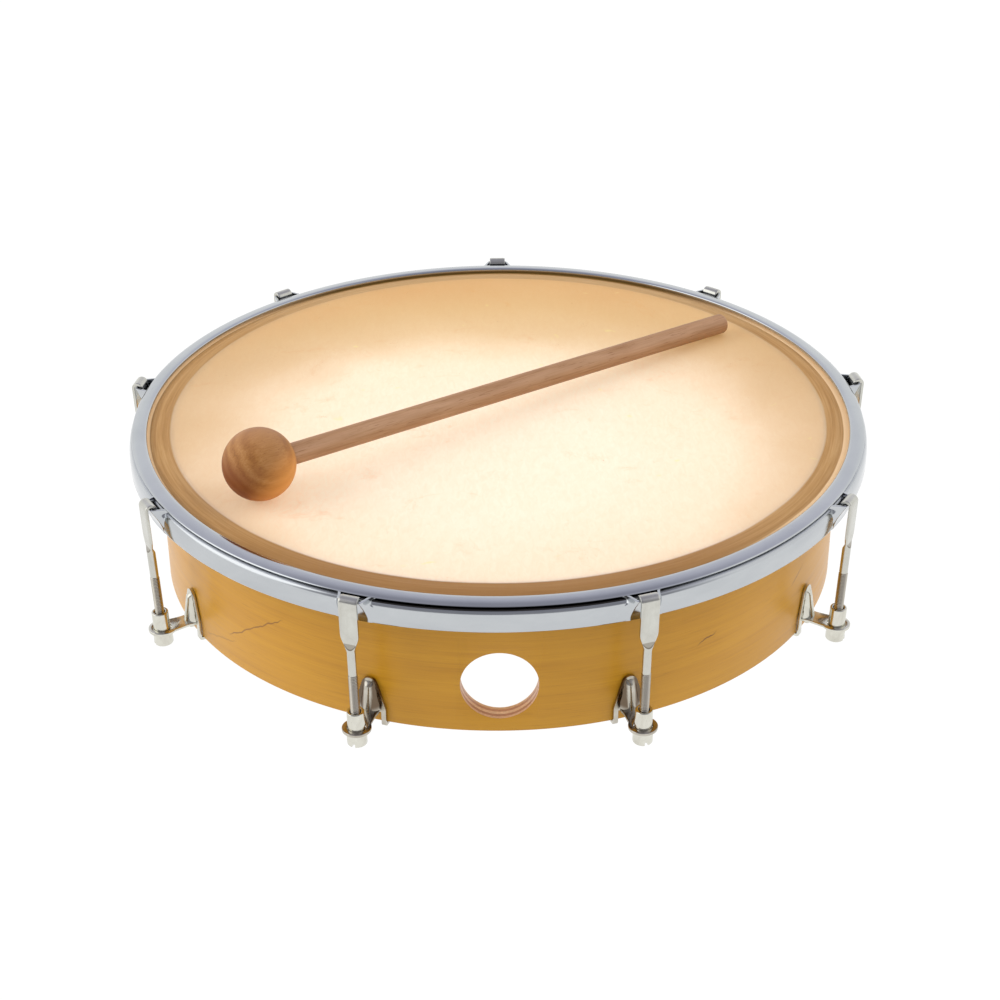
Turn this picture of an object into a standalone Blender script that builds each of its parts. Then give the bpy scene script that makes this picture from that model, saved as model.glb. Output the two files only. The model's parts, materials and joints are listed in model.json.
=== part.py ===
"""A tunable hand drum with a natural skin, nine hook tensioners and a wooden ball mallet lying on it.

Lengths are in metres, +Z is up, and the thumb hole faces -Y. The origin is at the centre of the
footprint, at the underside of the bracket feet that the drum stands on.
"""

from math import atan2, cos, pi, radians, sin

import bmesh
import bpy
from mathutils import Vector

MM = 0.001
GAP = 0.3 * MM  # kept between pieces that touch on the real drum

# Tensioners
POSTS = 9
FIRST_POST_ANGLE = 90.0  # degrees about the drum's axis, counted from +X
POST_STEP = 360.0 / POSTS
ROD_RADIUS_FROM_AXIS = 161.2 * MM  # of the rod, level with the shell's lower edge
ROD_LEAN = radians(2.2)

# Shell
SHELL_OUTER = 146.5 * MM
SHELL_WALL = 7.5 * MM
SHELL_INNER = SHELL_OUTER - SHELL_WALL
SHELL_HEIGHT = 63.7 * MM
BEARING_ROUND = 2.0 * MM
THUMB_HOLE_RADIUS = 15.25 * MM
THUMB_HOLE_HEIGHT = 21.2 * MM  # of its centre, over the shell's lower edge
RING_STEPS = 60

# Brackets, in a frame with +X outwards from the drum's axis and Z = 0 at the shell's lower edge
SHEET = 1.2 * MM
FOOT_DEPTH = 4.5 * MM  # how far a foot reaches under the shell
PLATE_HALF_WIDTH = 6.6 * MM
PLATE_TOP = 20.3 * MM
PLATE_TOP_RADIUS = 3.2 * MM
FLANK_CORNER = 6.4 * MM
RIDGE_RADIUS_LOW = 4.0 * MM
RIDGE_RADIUS_HIGH = 2.0 * MM
RIDGE_BULGE = 1.15  # outward reach over half width
RIDGE_TOP = 18.6 * MM
RIDGE_SIDES = 16
LUG_BOTTOM = 4.9 * MM
LUG_THICKNESS = 1.3 * MM
LUG_TOP = LUG_BOTTOM + LUG_THICKNESS
LUG_ROOT_HALF_WIDTH = 4.1 * MM
LUG_RING_RADIUS = 5.8 * MM
RIVET_HEIGHT = 8.6 * MM
RIVET_RADIUS = 1.3 * MM
RIVET_HEAD_RADIUS = 3.2 * MM
RIVET_HEAD_THICKNESS = 1.3 * MM
RIVET_TAIL_THICKNESS = 0.6 * MM
RIVET_TAIL_RADIUS = 1.6 * MM

# Nuts
NUT_SLEEVE_RADIUS = 3.45 * MM
NUT_HEAD_RADIUS = 4.0 * MM
NUT_BORE_RADIUS = 2.25 * MM
NUT_TOP = 14.1 * MM
NUT_BOTTOM = -1.2 * MM
NUT_SLOT_WIDTH = 1.5 * MM
NUT_SLOT_DEPTH = 1.8 * MM
NUT_CHAMFER = 0.4 * MM
NUT_STEPS = 14

# Hooks, along the leaning rod, with Z = 0 level with the shell's lower edge
THREAD_RADIUS = 1.9 * MM
NECK_RADIUS = 1.75 * MM
ROD_BOTTOM = 2.0 * MM
THREAD_TOP = 31.2 * MM
NECK_TOP = 42.0 * MM
SHOULDER_TOP = 50.0 * MM
STRIP_HALF_WIDTH = 3.75 * MM
STRIP_HALF_THICKNESS = 0.7 * MM
STRIP_OFFSET = 0.45 * MM  # outwards from the rod's axis
ROLL_CENTRE_HEIGHT = 63.6 * MM
ROLL_GAP = 2.4 * MM  # between the strip and the short leg that enters the pocket
LEG_BOTTOM = 61.6 * MM
ROLL_STEPS = 6

# Counter hoop
HOOP_STEPS = 72
HOOP_INNER = 150.8 * MM
HOOP_FLANGE_TOP = 64.5 * MM
HOOP_SHEET = 1.0 * MM
HOOP_BEAD_FOOT = 154.8 * MM  # where the flange starts to rise to the bead
HOOP_BEAD_TOP = 65.5 * MM
HOOP_BEAD_OUTER = 157.5 * MM
HOOP_GROOVE = 156.8 * MM
HOOP_GROOVE_HEIGHT = 63.8 * MM
HOOP_GROOVE_DEPTH = 0.6 * MM
HOOP_BAND_OUTER = 158.8 * MM
HOOP_BAND_TOP = 62.2 * MM
HOOP_BAND_BOTTOM = 53.5 * MM
HOOP_BAND_WALL = 1.1 * MM
POCKET_TOP = 64.2 * MM
POCKET_OUTER = 163.0 * MM
POCKET_WALL = 1.0 * MM
POCKET_FRONT_HALF_WIDTH = 4.5 * MM  # at the top, under the hook
POCKET_ROOT_HALF_WIDTH = 7.3 * MM
POCKET_FOOT_FRONT_HALF_WIDTH = 6.2 * MM  # where it runs out at the band's lower edge
POCKET_FOOT_ROOT_HALF_WIDTH = 6.7 * MM

# Skin and flesh hoop
SKIN_THICKNESS = 0.5 * MM
SKIN_UNDERSIDE = SHELL_HEIGHT + GAP
SKIN_TOP = SKIN_UNDERSIDE + SKIN_THICKNESS
FLESH_HOOP_RADIUS = 152.4 * MM
FLESH_HOOP_WIRE = 2.8 * MM
FLESH_HOOP_HEIGHT = 59.3 * MM

# Mallet, over the drum's axis
MALLET_HEAD_RADIUS = 14.9 * MM
MALLET_HEAD_AT = Vector((-95.5, -74.9)) * MM
MALLET_TIP_AT = Vector((105.3, 78.0)) * MM
MALLET_HANDLE_RADIUS = 4.5 * MM
MALLET_BORE_DEPTH = 10.0 * MM  # beyond the head's centre
MALLET_TIP_ROUND = 1.6 * MM
HANDLE_STEPS = 20

# Where the drum's axis and the shell's lower edge lie in the row's frame
DRUM_AXIS_Y = -(ROD_RADIUS_FROM_AXIS + LUG_RING_RADIUS - HOOP_BAND_OUTER) / 2
SHELL_BOTTOM_Z = SHEET + GAP

COLOURS = {
    "plywood": ((0.55, 0.29, 0.06), 0.35, 0.0),
    "skin": ((0.93, 0.80, 0.58), 0.55, 0.0),
    "chrome": ((0.78, 0.80, 0.84), 0.08, 1.0),
    "nickel": ((0.70, 0.68, 0.62), 0.18, 1.0),
    "steel_wire": ((0.45, 0.45, 0.46), 0.35, 1.0),
    "rivet_metal": ((0.60, 0.59, 0.56), 0.30, 1.0),
    "beech": ((0.62, 0.36, 0.20), 0.55, 0.0),
    "beech_head": ((0.55, 0.29, 0.15), 0.50, 0.0),
}


def clear_scene():
    for obj in list(bpy.data.objects):
        bpy.data.objects.remove(obj, do_unlink=True)


def new_collection(name):
    collection = bpy.data.collections.new(name)
    bpy.context.scene.collection.children.link(collection)
    return collection


def material(name):
    colour, roughness, metallic = COLOURS[name]
    made = bpy.data.materials.get(name) or bpy.data.materials.new(name)
    made.use_nodes = True
    shader = made.node_tree.nodes["Principled BSDF"]
    shader.inputs["Base Color"].default_value = (*colour, 1.0)
    shader.inputs["Roughness"].default_value = roughness
    shader.inputs["Metallic"].default_value = metallic
    return made


def mesh_object(name, mesh, collection, material_name=None):
    obj = bpy.data.objects.new(name, mesh)
    collection.objects.link(obj)
    if material_name:
        mesh.materials.append(material(material_name))
    return obj


def smooth(obj, angle=35.0):
    obj.data.shade_smooth()
    obj.data.set_sharp_from_angle(angle=radians(angle))


def turned(name, profile, steps, collection, material_name=None, flip=False):
    """A closed profile of (radius, height) points, turned about the object's Z axis."""
    mesh = bpy.data.meshes.new(name)
    form = bmesh.new()
    points = [form.verts.new((radius, 0.0, height)) for radius, height in profile]
    for start, end in zip(points, points[1:] + points[:1]):
        if start.co.x > 0.0 or end.co.x > 0.0:
            form.edges.new((start, end))
    form.to_mesh(mesh)
    form.free()
    obj = mesh_object(name, mesh, collection, material_name)
    screw = obj.modifiers.new("Screw", "SCREW")
    screw.steps = steps
    screw.render_steps = steps
    screw.use_merge_vertices = True
    screw.merge_threshold = 1e-6
    screw.use_normal_calculate = True
    screw.use_normal_flip = flip
    return obj


def made_real(obj):
    """The object with its modifiers applied, or its curve made a mesh with welded caps."""
    bpy.context.view_layer.update()
    evaluated = obj.evaluated_get(bpy.context.evaluated_depsgraph_get())
    mesh = bpy.data.meshes.new_from_object(evaluated)
    form = bmesh.new()
    form.from_mesh(mesh)
    bmesh.ops.remove_doubles(form, verts=form.verts, dist=1e-7)
    bmesh.ops.recalc_face_normals(form, faces=form.faces)
    form.to_mesh(mesh)
    form.free()
    name = obj.name
    collection = obj.users_collection[0]
    matrix = obj.matrix_world.copy()
    bpy.data.objects.remove(obj, do_unlink=True)
    real = bpy.data.objects.new(name, mesh)
    collection.objects.link(real)
    real.matrix_world = matrix
    return real


def flat_outline(name, outlines, thickness, collection, material_name=None):
    """Closed outlines in the XY plane, the inner ones as holes, filled and extruded."""
    curve = bpy.data.curves.new(name, "CURVE")
    curve.dimensions = "2D"
    curve.fill_mode = "BOTH"
    curve.extrude = thickness / 2
    for outline in outlines:
        spline = curve.splines.new("POLY")
        spline.points.add(len(outline) - 1)
        for point, (x, y) in zip(spline.points, outline):
            point.co = (x, y, 0.0, 1.0)
        spline.use_cyclic_u = True
    obj = bpy.data.objects.new(name, curve)
    collection.objects.link(obj)
    if material_name:
        curve.materials.append(material(material_name))
    return obj


def arc(centre, radius, start, end, steps):
    """Points along an arc, angles in degrees."""
    return [
        (
            centre[0] + radius * cos(radians(start + (end - start) * i / steps)),
            centre[1] + radius * sin(radians(start + (end - start) * i / steps)),
        )
        for i in range(steps + 1)
    ]


def loft(name, sections, collection, material_name=None):
    """A closed body through rings of points, each ring with the same number of points."""
    mesh = bpy.data.meshes.new(name)
    form = bmesh.new()
    rings = [[form.verts.new(point) for point in section] for section in sections]
    count = len(rings[0])
    for low, high in zip(rings, rings[1:]):
        for i in range(count):
            j = (i + 1) % count
            form.faces.new((low[i], low[j], high[j], high[i]))
    form.faces.new(reversed(rings[0]))
    form.faces.new(rings[-1])
    bmesh.ops.recalc_face_normals(form, faces=form.faces)
    form.to_mesh(mesh)
    form.free()
    return mesh_object(name, mesh, collection, material_name)


def cylinder(name, radius, length, sides, collection, material_name=None):
    """A cylinder along Z, centred on the origin."""
    mesh = bpy.data.meshes.new(name)
    form = bmesh.new()
    bmesh.ops.create_cone(
        form, cap_ends=True, segments=sides, radius1=radius, radius2=radius, depth=length
    )
    form.to_mesh(mesh)
    form.free()
    return mesh_object(name, mesh, collection, material_name)


def box(name, size, centre, collection, material_name=None):
    mesh = bpy.data.meshes.new(name)
    form = bmesh.new()
    bmesh.ops.create_cube(form, size=1.0)
    bmesh.ops.scale(form, vec=size, verts=form.verts)
    bmesh.ops.translate(form, vec=centre, verts=form.verts)
    form.to_mesh(mesh)
    form.free()
    return mesh_object(name, mesh, collection, material_name)


def hide_cutter(obj):
    obj.hide_render = True
    obj.display_type = "WIRE"
    return obj


def add_boolean(obj, other, operation):
    step = obj.modifiers.new(operation.capitalize(), "BOOLEAN")
    step.operation = operation
    step.object = other
    step.solver = "EXACT"


def post_angle(index):
    return radians(FIRST_POST_ANGLE + POST_STEP * index)


def post_frame(index, collection):
    """An empty at the shell's lower edge on the drum's axis, with +X towards post number index."""
    empty = bpy.data.objects.new(f"post_{index + 1}", None)
    collection.objects.link(empty)
    empty.location = (0.0, DRUM_AXIS_Y, SHELL_BOTTOM_Z)
    empty.rotation_euler = (0.0, 0.0, post_angle(index))
    return empty


def on_drum(obj, height=0.0):
    obj.location = (0.0, DRUM_AXIS_Y, SHELL_BOTTOM_Z + height)
    return obj


def build_shell(parts, cutters):
    profile = [
        (SHELL_OUTER - BEARING_ROUND, SHELL_HEIGHT),
        (SHELL_OUTER - 0.6 * MM, SHELL_HEIGHT - 0.6 * MM),
        (SHELL_OUTER, SHELL_HEIGHT - BEARING_ROUND),
        (SHELL_OUTER, 0.0),
        (SHELL_INNER, 0.0),
        (SHELL_INNER, SHELL_HEIGHT - BEARING_ROUND),
        (SHELL_INNER + BEARING_ROUND, SHELL_HEIGHT),
    ]
    shell = on_drum(turned("shell", profile, RING_STEPS, parts, "plywood"))
    through = SHELL_WALL * 3
    middle = SHELL_OUTER - SHELL_WALL / 2
    thumb = cylinder("thumb_hole_cutter", THUMB_HOLE_RADIUS, through, 40, cutters)
    thumb.location = (0.0, DRUM_AXIS_Y - middle, SHELL_BOTTOM_Z + THUMB_HOLE_HEIGHT)
    thumb.rotation_euler = (pi / 2, 0.0, 0.0)
    add_boolean(shell, hide_cutter(thumb), "DIFFERENCE")
    for index in range(POSTS):
        angle = post_angle(index)
        name = f"rivet_hole_cutter_{index + 1}"
        hole = cylinder(name, RIVET_RADIUS + GAP, through, 12, cutters)
        hole.location = (
            middle * cos(angle),
            DRUM_AXIS_Y + middle * sin(angle),
            SHELL_BOTTOM_Z + RIVET_HEIGHT,
        )
        hole.rotation_euler = (0.0, pi / 2, angle)
        add_boolean(shell, hide_cutter(hole), "DIFFERENCE")
    smooth(shell)
    return shell


def build_flesh_hoop(parts):
    profile = arc((FLESH_HOOP_RADIUS, FLESH_HOOP_HEIGHT), FLESH_HOOP_WIRE, 90.0, -225.0, 7)
    hoop = on_drum(turned("flesh_hoop", profile, RING_STEPS, parts, "steel_wire"))
    smooth(hoop, 60.0)
    return hoop


def skin_line():
    """The skin's middle surface from the axis outwards, as (radius, height) points."""
    middle = SKIN_UNDERSIDE + SKIN_THICKNESS / 2
    wrap = FLESH_HOOP_WIRE + GAP + SKIN_THICKNESS / 2
    flesh = (FLESH_HOOP_RADIUS, FLESH_HOOP_HEIGHT)
    return [
        (0.0, middle),
        (SHELL_OUTER - BEARING_ROUND, middle),
        (SHELL_OUTER - 0.1 * MM, middle - 0.35 * MM),
        (SHELL_OUTER + 0.7 * MM, middle - 1.0 * MM),
    ] + arc(flesh, wrap, 100.0, -30.0, 3)


def build_skin(parts):
    line = skin_line()
    half = SKIN_THICKNESS / 2
    upper, lower = [], []
    for i, (radius, height) in enumerate(line):
        before = line[max(i - 1, 0)]
        after = line[min(i + 1, len(line) - 1)]
        slope = atan2(after[1] - before[1], after[0] - before[0])
        shift = (-sin(slope) * half, cos(slope) * half) if radius > 0.0 else (0.0, half)
        upper.append((radius + shift[0], height + shift[1]))
        lower.append((radius - shift[0], height - shift[1]))
    skin = on_drum(turned("skin_head", upper + lower[::-1], RING_STEPS, parts, "skin"))
    smooth(skin, 40.0)
    return skin


def hoop_profile():
    """The rolled hoop's section: inner flange, outer bead, groove and vertical band."""
    band_inner = HOOP_BAND_OUTER - HOOP_BAND_WALL
    groove_low = HOOP_GROOVE_HEIGHT - HOOP_GROOVE_DEPTH
    under = HOOP_FLANGE_TOP - HOOP_SHEET
    return [
        (HOOP_INNER, HOOP_FLANGE_TOP),
        (HOOP_BEAD_FOOT, HOOP_FLANGE_TOP + 0.2 * MM),
        (HOOP_BEAD_FOOT + 0.7 * MM, HOOP_BEAD_TOP - 0.25 * MM),
        (HOOP_BEAD_FOOT + 1.6 * MM, HOOP_BEAD_TOP),
        (HOOP_BEAD_OUTER - 0.2 * MM, HOOP_BEAD_TOP - 0.4 * MM),
        (HOOP_BEAD_OUTER, HOOP_BEAD_TOP - 1.0 * MM),
        (HOOP_GROOVE, HOOP_GROOVE_HEIGHT),
        (HOOP_GROOVE, groove_low),
        (HOOP_BAND_OUTER - 0.6 * MM, groove_low - 0.4 * MM),
        (HOOP_BAND_OUTER, HOOP_BAND_TOP),
        (HOOP_BAND_OUTER, HOOP_BAND_BOTTOM + 0.3 * MM),
        (HOOP_BAND_OUTER - 0.3 * MM, HOOP_BAND_BOTTOM),
        (band_inner, HOOP_BAND_BOTTOM),
        (band_inner, HOOP_BAND_TOP - 0.3 * MM),
        (HOOP_GROOVE - 0.5 * MM, groove_low - 0.5 * MM),
        (HOOP_GROOVE - 1.2 * MM, under),
        (HOOP_INNER, under),
    ]


def pocket_section(height, inner, outer, root_half, front_half):
    return [
        (inner, -root_half, height),
        (outer, -front_half, height),
        (outer, front_half, height),
        (inner, root_half, height),
    ]


def pocket_form(name, index, inner, wall, top, cutters):
    """The pressed-out pocket at one post, shrunk by wall on its outer sides."""
    foot = HOOP_BAND_BOTTOM + 0.5 * MM
    bend = POCKET_TOP - 3.0 * MM
    root, front = POCKET_ROOT_HALF_WIDTH, POCKET_FRONT_HALF_WIDTH
    levels = [
        (foot, HOOP_BAND_OUTER + 0.1 * MM, POCKET_FOOT_ROOT_HALF_WIDTH, POCKET_FOOT_FRONT_HALF_WIDTH),
        (bend, POCKET_OUTER - 0.5 * MM, root - 0.2 * MM, front + 0.5 * MM),
        (top, POCKET_OUTER, root, front),
    ]
    sections = [
        pocket_section(height, inner, outer - wall, root_half - wall, front_half - wall)
        for height, outer, root_half, front_half in levels
    ]
    form = loft(f"{name}_{index + 1}", sections, cutters)
    form.location = (0.0, DRUM_AXIS_Y, SHELL_BOTTOM_Z)
    form.rotation_euler = (0.0, 0.0, post_angle(index))
    return hide_cutter(form)


def build_counter_hoop(parts, cutters):
    hoop = on_drum(turned("counter_hoop", hoop_profile(), HOOP_STEPS, parts, "chrome"))
    outer_from = HOOP_BAND_OUTER - 0.9 * MM
    inner_from = HOOP_BAND_OUTER - 1.5 * MM
    over = POCKET_TOP + 2.0 * MM
    for index in range(POSTS):
        body = pocket_form("pocket_body", index, outer_from, 0.0, POCKET_TOP, cutters)
        add_boolean(hoop, body, "UNION")
    for index in range(POSTS):
        hollow = pocket_form("pocket_hollow", index, inner_from, POCKET_WALL, over, cutters)
        add_boolean(hoop, hollow, "DIFFERENCE")
    smooth(hoop, 30.0)
    return hoop


def bracket_plate_outline():
    """The back plate seen from outside: X across, Y up."""
    low = -GAP - SHEET
    start = (PLATE_HALF_WIDTH, low)
    tip = (0.0, PLATE_TOP - PLATE_TOP_RADIUS)
    side = [(-x, y) for x, y in arc(tip, PLATE_TOP_RADIUS, 25.0, 90.0, 3)][::-1]
    right = [start, (PLATE_HALF_WIDTH, FLANK_CORNER)] + arc(tip, PLATE_TOP_RADIUS, 25.0, 90.0, 3)
    left = side[1:] + [(-PLATE_HALF_WIDTH, FLANK_CORNER), (-PLATE_HALF_WIDTH, low)]
    relief = LUG_ROOT_HALF_WIDTH + 0.6 * MM
    notch = LUG_BOTTOM + 0.4 * MM
    window = [(-relief, low), (-relief, notch), (relief, notch), (relief, low)]
    return right + left + window


def bracket_lug_outline():
    """The tongue seen from above: X outwards from the drum's axis, ending in a ring."""
    root = SHELL_OUTER + GAP + 0.2 * MM
    ring = (ROD_RADIUS_FROM_AXIS, 0.0)
    outer = arc(ring, LUG_RING_RADIUS, -125.0, 125.0, 14)
    tongue = [(root, LUG_ROOT_HALF_WIDTH), (root, -LUG_ROOT_HALF_WIDTH)]
    hole = arc(ring, NUT_SLEEVE_RADIUS + GAP, 0.0, 360.0, 16)[:-1]
    return [outer + tongue, hole]


def ridge_form(name, wall, low, high, collection):
    """A tapering round ridge against the plate, shrunk by wall."""
    mesh = bpy.data.meshes.new(name)
    form = bmesh.new()
    bmesh.ops.create_cone(
        form,
        cap_ends=True,
        segments=RIDGE_SIDES,
        radius1=RIDGE_RADIUS_LOW - wall,
        radius2=RIDGE_RADIUS_HIGH - wall,
        depth=high - low,
    )
    bmesh.ops.scale(form, vec=(RIDGE_BULGE, 1.0, 1.0), verts=form.verts)
    bmesh.ops.translate(form, vec=(0.0, 0.0, (high + low) / 2), verts=form.verts)
    face = SHELL_OUTER + GAP
    bmesh.ops.translate(form, vec=(face, 0.0, 0.0), verts=form.verts)
    cut_at = face if wall == 0.0 else face - SHEET
    geometry = form.verts[:] + form.edges[:] + form.faces[:]
    cut = bmesh.ops.bisect_plane(
        form, geom=geometry, plane_co=(cut_at, 0.0, 0.0), plane_no=(1.0, 0.0, 0.0), clear_inner=True
    )
    edges = [item for item in cut["geom_cut"] if isinstance(item, bmesh.types.BMEdge)]
    if edges:
        bmesh.ops.edgeloop_fill(form, edges=edges)
    bmesh.ops.recalc_face_normals(form, faces=form.faces)
    form.to_mesh(mesh)
    form.free()
    return mesh_object(name, mesh, collection)


def build_bracket_mesh(cutters):
    """One bracket in the post's frame: plate, ridge, lug and the two feet under the shell."""
    face = SHELL_OUTER + GAP
    plate = flat_outline("bracket_plate", [bracket_plate_outline()], SHEET, cutters)
    plate.rotation_euler = (pi / 2, 0.0, pi / 2)
    plate.location = (face + SHEET / 2, 0.0, 0.0)
    plate = made_real(plate)
    plate.data.transform(plate.matrix_world)
    plate.matrix_world.identity()
    lug = flat_outline("bracket_lug", bracket_lug_outline(), LUG_THICKNESS, cutters)
    lug.location = (0.0, 0.0, LUG_BOTTOM + LUG_THICKNESS / 2)
    lug = hide_cutter(made_real(lug))
    add_boolean(plate, lug, "UNION")
    ridge = ridge_form("bracket_ridge", 0.0, LUG_BOTTOM + 0.5 * MM, RIDGE_TOP, cutters)
    add_boolean(plate, hide_cutter(ridge), "UNION")
    foot_width = PLATE_HALF_WIDTH - LUG_ROOT_HALF_WIDTH - 0.6 * MM
    for side in (-1, 1):
        centre = (
            face + SHEET - (FOOT_DEPTH + SHEET) / 2,
            side * (PLATE_HALF_WIDTH - foot_width / 2),
            -GAP - SHEET / 2,
        )
        name = f"bracket_foot_{side}"
        foot = box(name, (FOOT_DEPTH + SHEET, foot_width, SHEET), centre, cutters)
        add_boolean(plate, hide_cutter(foot), "UNION")
    hollow_top = RIDGE_TOP - SHEET
    hollow = ridge_form("bracket_hollow", SHEET * 0.8, LUG_TOP + 0.3 * MM, hollow_top, cutters)
    add_boolean(plate, hide_cutter(hollow), "DIFFERENCE")
    hole = cylinder("bracket_rivet_hole", RIVET_RADIUS + GAP, SHEET * 2, 12, cutters)
    hole.location = (face, 0.0, RIVET_HEIGHT)
    hole.rotation_euler = (0.0, pi / 2, 0.0)
    add_boolean(plate, hide_cutter(hole), "DIFFERENCE")
    real = made_real(plate)
    real.data.name = "bracket"
    mesh = real.data
    mesh.materials.clear()
    mesh.materials.append(material("nickel"))
    smooth(real, 40.0)
    bpy.data.objects.remove(real, do_unlink=True)
    return mesh


def build_nut_mesh(cutters):
    """A slotted sleeve nut about its own Z axis."""
    head_top = LUG_BOTTOM - GAP
    profile = [
        (NUT_BORE_RADIUS, NUT_TOP),
        (NUT_SLEEVE_RADIUS - NUT_CHAMFER, NUT_TOP),
        (NUT_SLEEVE_RADIUS, NUT_TOP - NUT_CHAMFER),
        (NUT_SLEEVE_RADIUS, head_top),
        (NUT_HEAD_RADIUS, head_top),
        (NUT_HEAD_RADIUS, NUT_BOTTOM + NUT_CHAMFER),
        (NUT_HEAD_RADIUS - NUT_CHAMFER, NUT_BOTTOM),
        (NUT_BORE_RADIUS, NUT_BOTTOM),
    ]
    nut = turned("nut_form", profile, NUT_STEPS, cutters, "nickel")
    size = (NUT_HEAD_RADIUS * 3, NUT_SLOT_WIDTH, NUT_SLOT_DEPTH * 2)
    slot = box("nut_slot_cutter", size, (0.0, 0.0, NUT_BOTTOM), cutters)
    add_boolean(nut, hide_cutter(slot), "DIFFERENCE")
    real = made_real(nut)
    real.data.name = "tension_nut"
    smooth(real, 35.0)
    mesh = real.data
    bpy.data.objects.remove(real, do_unlink=True)
    return mesh


def round_section(radius, height):
    """Ten points about the rod, in the order that strip_section uses."""
    angles = [i * 36.0 for i in range(10)]
    return [(radius * cos(radians(a)), radius * sin(radians(a)), height) for a in angles]


def strip_section(centre, tilt, half_width, half_thickness):
    """A flat ten-sided section centred at (x, z), turned by tilt about the tangent direction."""
    edge = 0.85
    outline = [
        (half_thickness, 0.0),
        (half_thickness, half_width * edge * 0.5),
        (half_thickness * 0.9, half_width * edge),
        (-half_thickness * 0.9, half_width * edge),
        (-half_thickness, half_width * edge * 0.5),
        (-half_thickness, 0.0),
        (-half_thickness, -half_width * edge * 0.5),
        (-half_thickness * 0.9, -half_width * edge),
        (half_thickness * 0.9, -half_width * edge),
        (half_thickness, -half_width * edge * 0.5),
    ]
    scale = 1.0 / edge
    return [
        (centre[0] + across * cos(tilt), along * scale, centre[1] + across * sin(tilt))
        for across, along in outline
    ]


def build_hook_mesh(cutters):
    """One tension hook about its rod's axis: thread, neck, flattened strip and rolled end."""
    roll_radius = ROLL_GAP / 2 + STRIP_HALF_THICKNESS
    strip_x = STRIP_OFFSET
    sections = [
        round_section(THREAD_RADIUS - 0.5 * MM, ROD_BOTTOM),
        round_section(THREAD_RADIUS, ROD_BOTTOM + 0.5 * MM),
        round_section(THREAD_RADIUS, THREAD_TOP),
        round_section(NECK_RADIUS, THREAD_TOP + 0.2 * MM),
        round_section(NECK_RADIUS, NECK_TOP),
        strip_section((0.0, (NECK_TOP + SHOULDER_TOP) / 2), 0.0, 2.7 * MM, 1.2 * MM),
        strip_section((strip_x, SHOULDER_TOP), 0.0, STRIP_HALF_WIDTH, STRIP_HALF_THICKNESS),
    ]
    for step in range(ROLL_STEPS + 1):
        angle = pi * step / ROLL_STEPS
        centre = (
            strip_x - roll_radius + roll_radius * cos(angle),
            ROLL_CENTRE_HEIGHT + roll_radius * sin(angle),
        )
        sections.append(strip_section(centre, angle, STRIP_HALF_WIDTH, STRIP_HALF_THICKNESS))
    leg = (strip_x - 2 * roll_radius, LEG_BOTTOM)
    sections.append(strip_section(leg, pi, STRIP_HALF_WIDTH, STRIP_HALF_THICKNESS))
    hook = loft("hook_form", sections, cutters, "nickel")
    smooth(hook, 35.0)
    mesh = hook.data
    mesh.name = "tension_hook"
    bpy.data.objects.remove(hook, do_unlink=True)
    return mesh


def build_rivet_mesh(cutters):
    """A rivet along +X from inside the shell to the hollow of the bracket's ridge."""
    head_at = SHELL_INNER - GAP
    plate_out = SHELL_OUTER + GAP + SHEET + 0.1 * MM
    end = plate_out + RIVET_TAIL_THICKNESS
    profile = [
        (0.0, end),
        (RIVET_TAIL_RADIUS * 0.7, end),
        (RIVET_TAIL_RADIUS, plate_out),
        (RIVET_RADIUS, plate_out),
        (RIVET_RADIUS, head_at),
        (RIVET_HEAD_RADIUS, head_at),
        (RIVET_HEAD_RADIUS * 0.75, head_at - RIVET_HEAD_THICKNESS * 0.7),
        (0.0, head_at - RIVET_HEAD_THICKNESS),
    ]
    rivet = made_real(turned("rivet_form", profile, 12, cutters, "rivet_metal"))
    smooth(rivet, 40.0)
    mesh = rivet.data
    mesh.name = "bracket_rivet"
    bpy.data.objects.remove(rivet, do_unlink=True)
    return mesh


def build_posts(parts, cutters):
    bracket_mesh = build_bracket_mesh(cutters)
    nut_mesh = build_nut_mesh(cutters)
    hook_mesh = build_hook_mesh(cutters)
    rivet_mesh = build_rivet_mesh(cutters)
    for index in range(POSTS):
        frame = post_frame(index, parts)
        number = index + 1
        bracket = mesh_object(f"bracket_{number}", bracket_mesh, parts)
        bracket.parent = frame
        rivet = mesh_object(f"bracket_rivet_{number}", rivet_mesh, parts)
        rivet.parent = frame
        rivet.location = (0.0, 0.0, RIVET_HEIGHT)
        rivet.rotation_euler = (0.0, pi / 2, 0.0)
        for name, mesh in (("tension_hook", hook_mesh), ("tension_nut", nut_mesh)):
            piece = mesh_object(f"{name}_{number}", mesh, parts)
            piece.parent = frame
            piece.location = (ROD_RADIUS_FROM_AXIS, 0.0, 0.0)
            piece.rotation_euler = (0.0, ROD_LEAN, 0.0)


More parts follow.
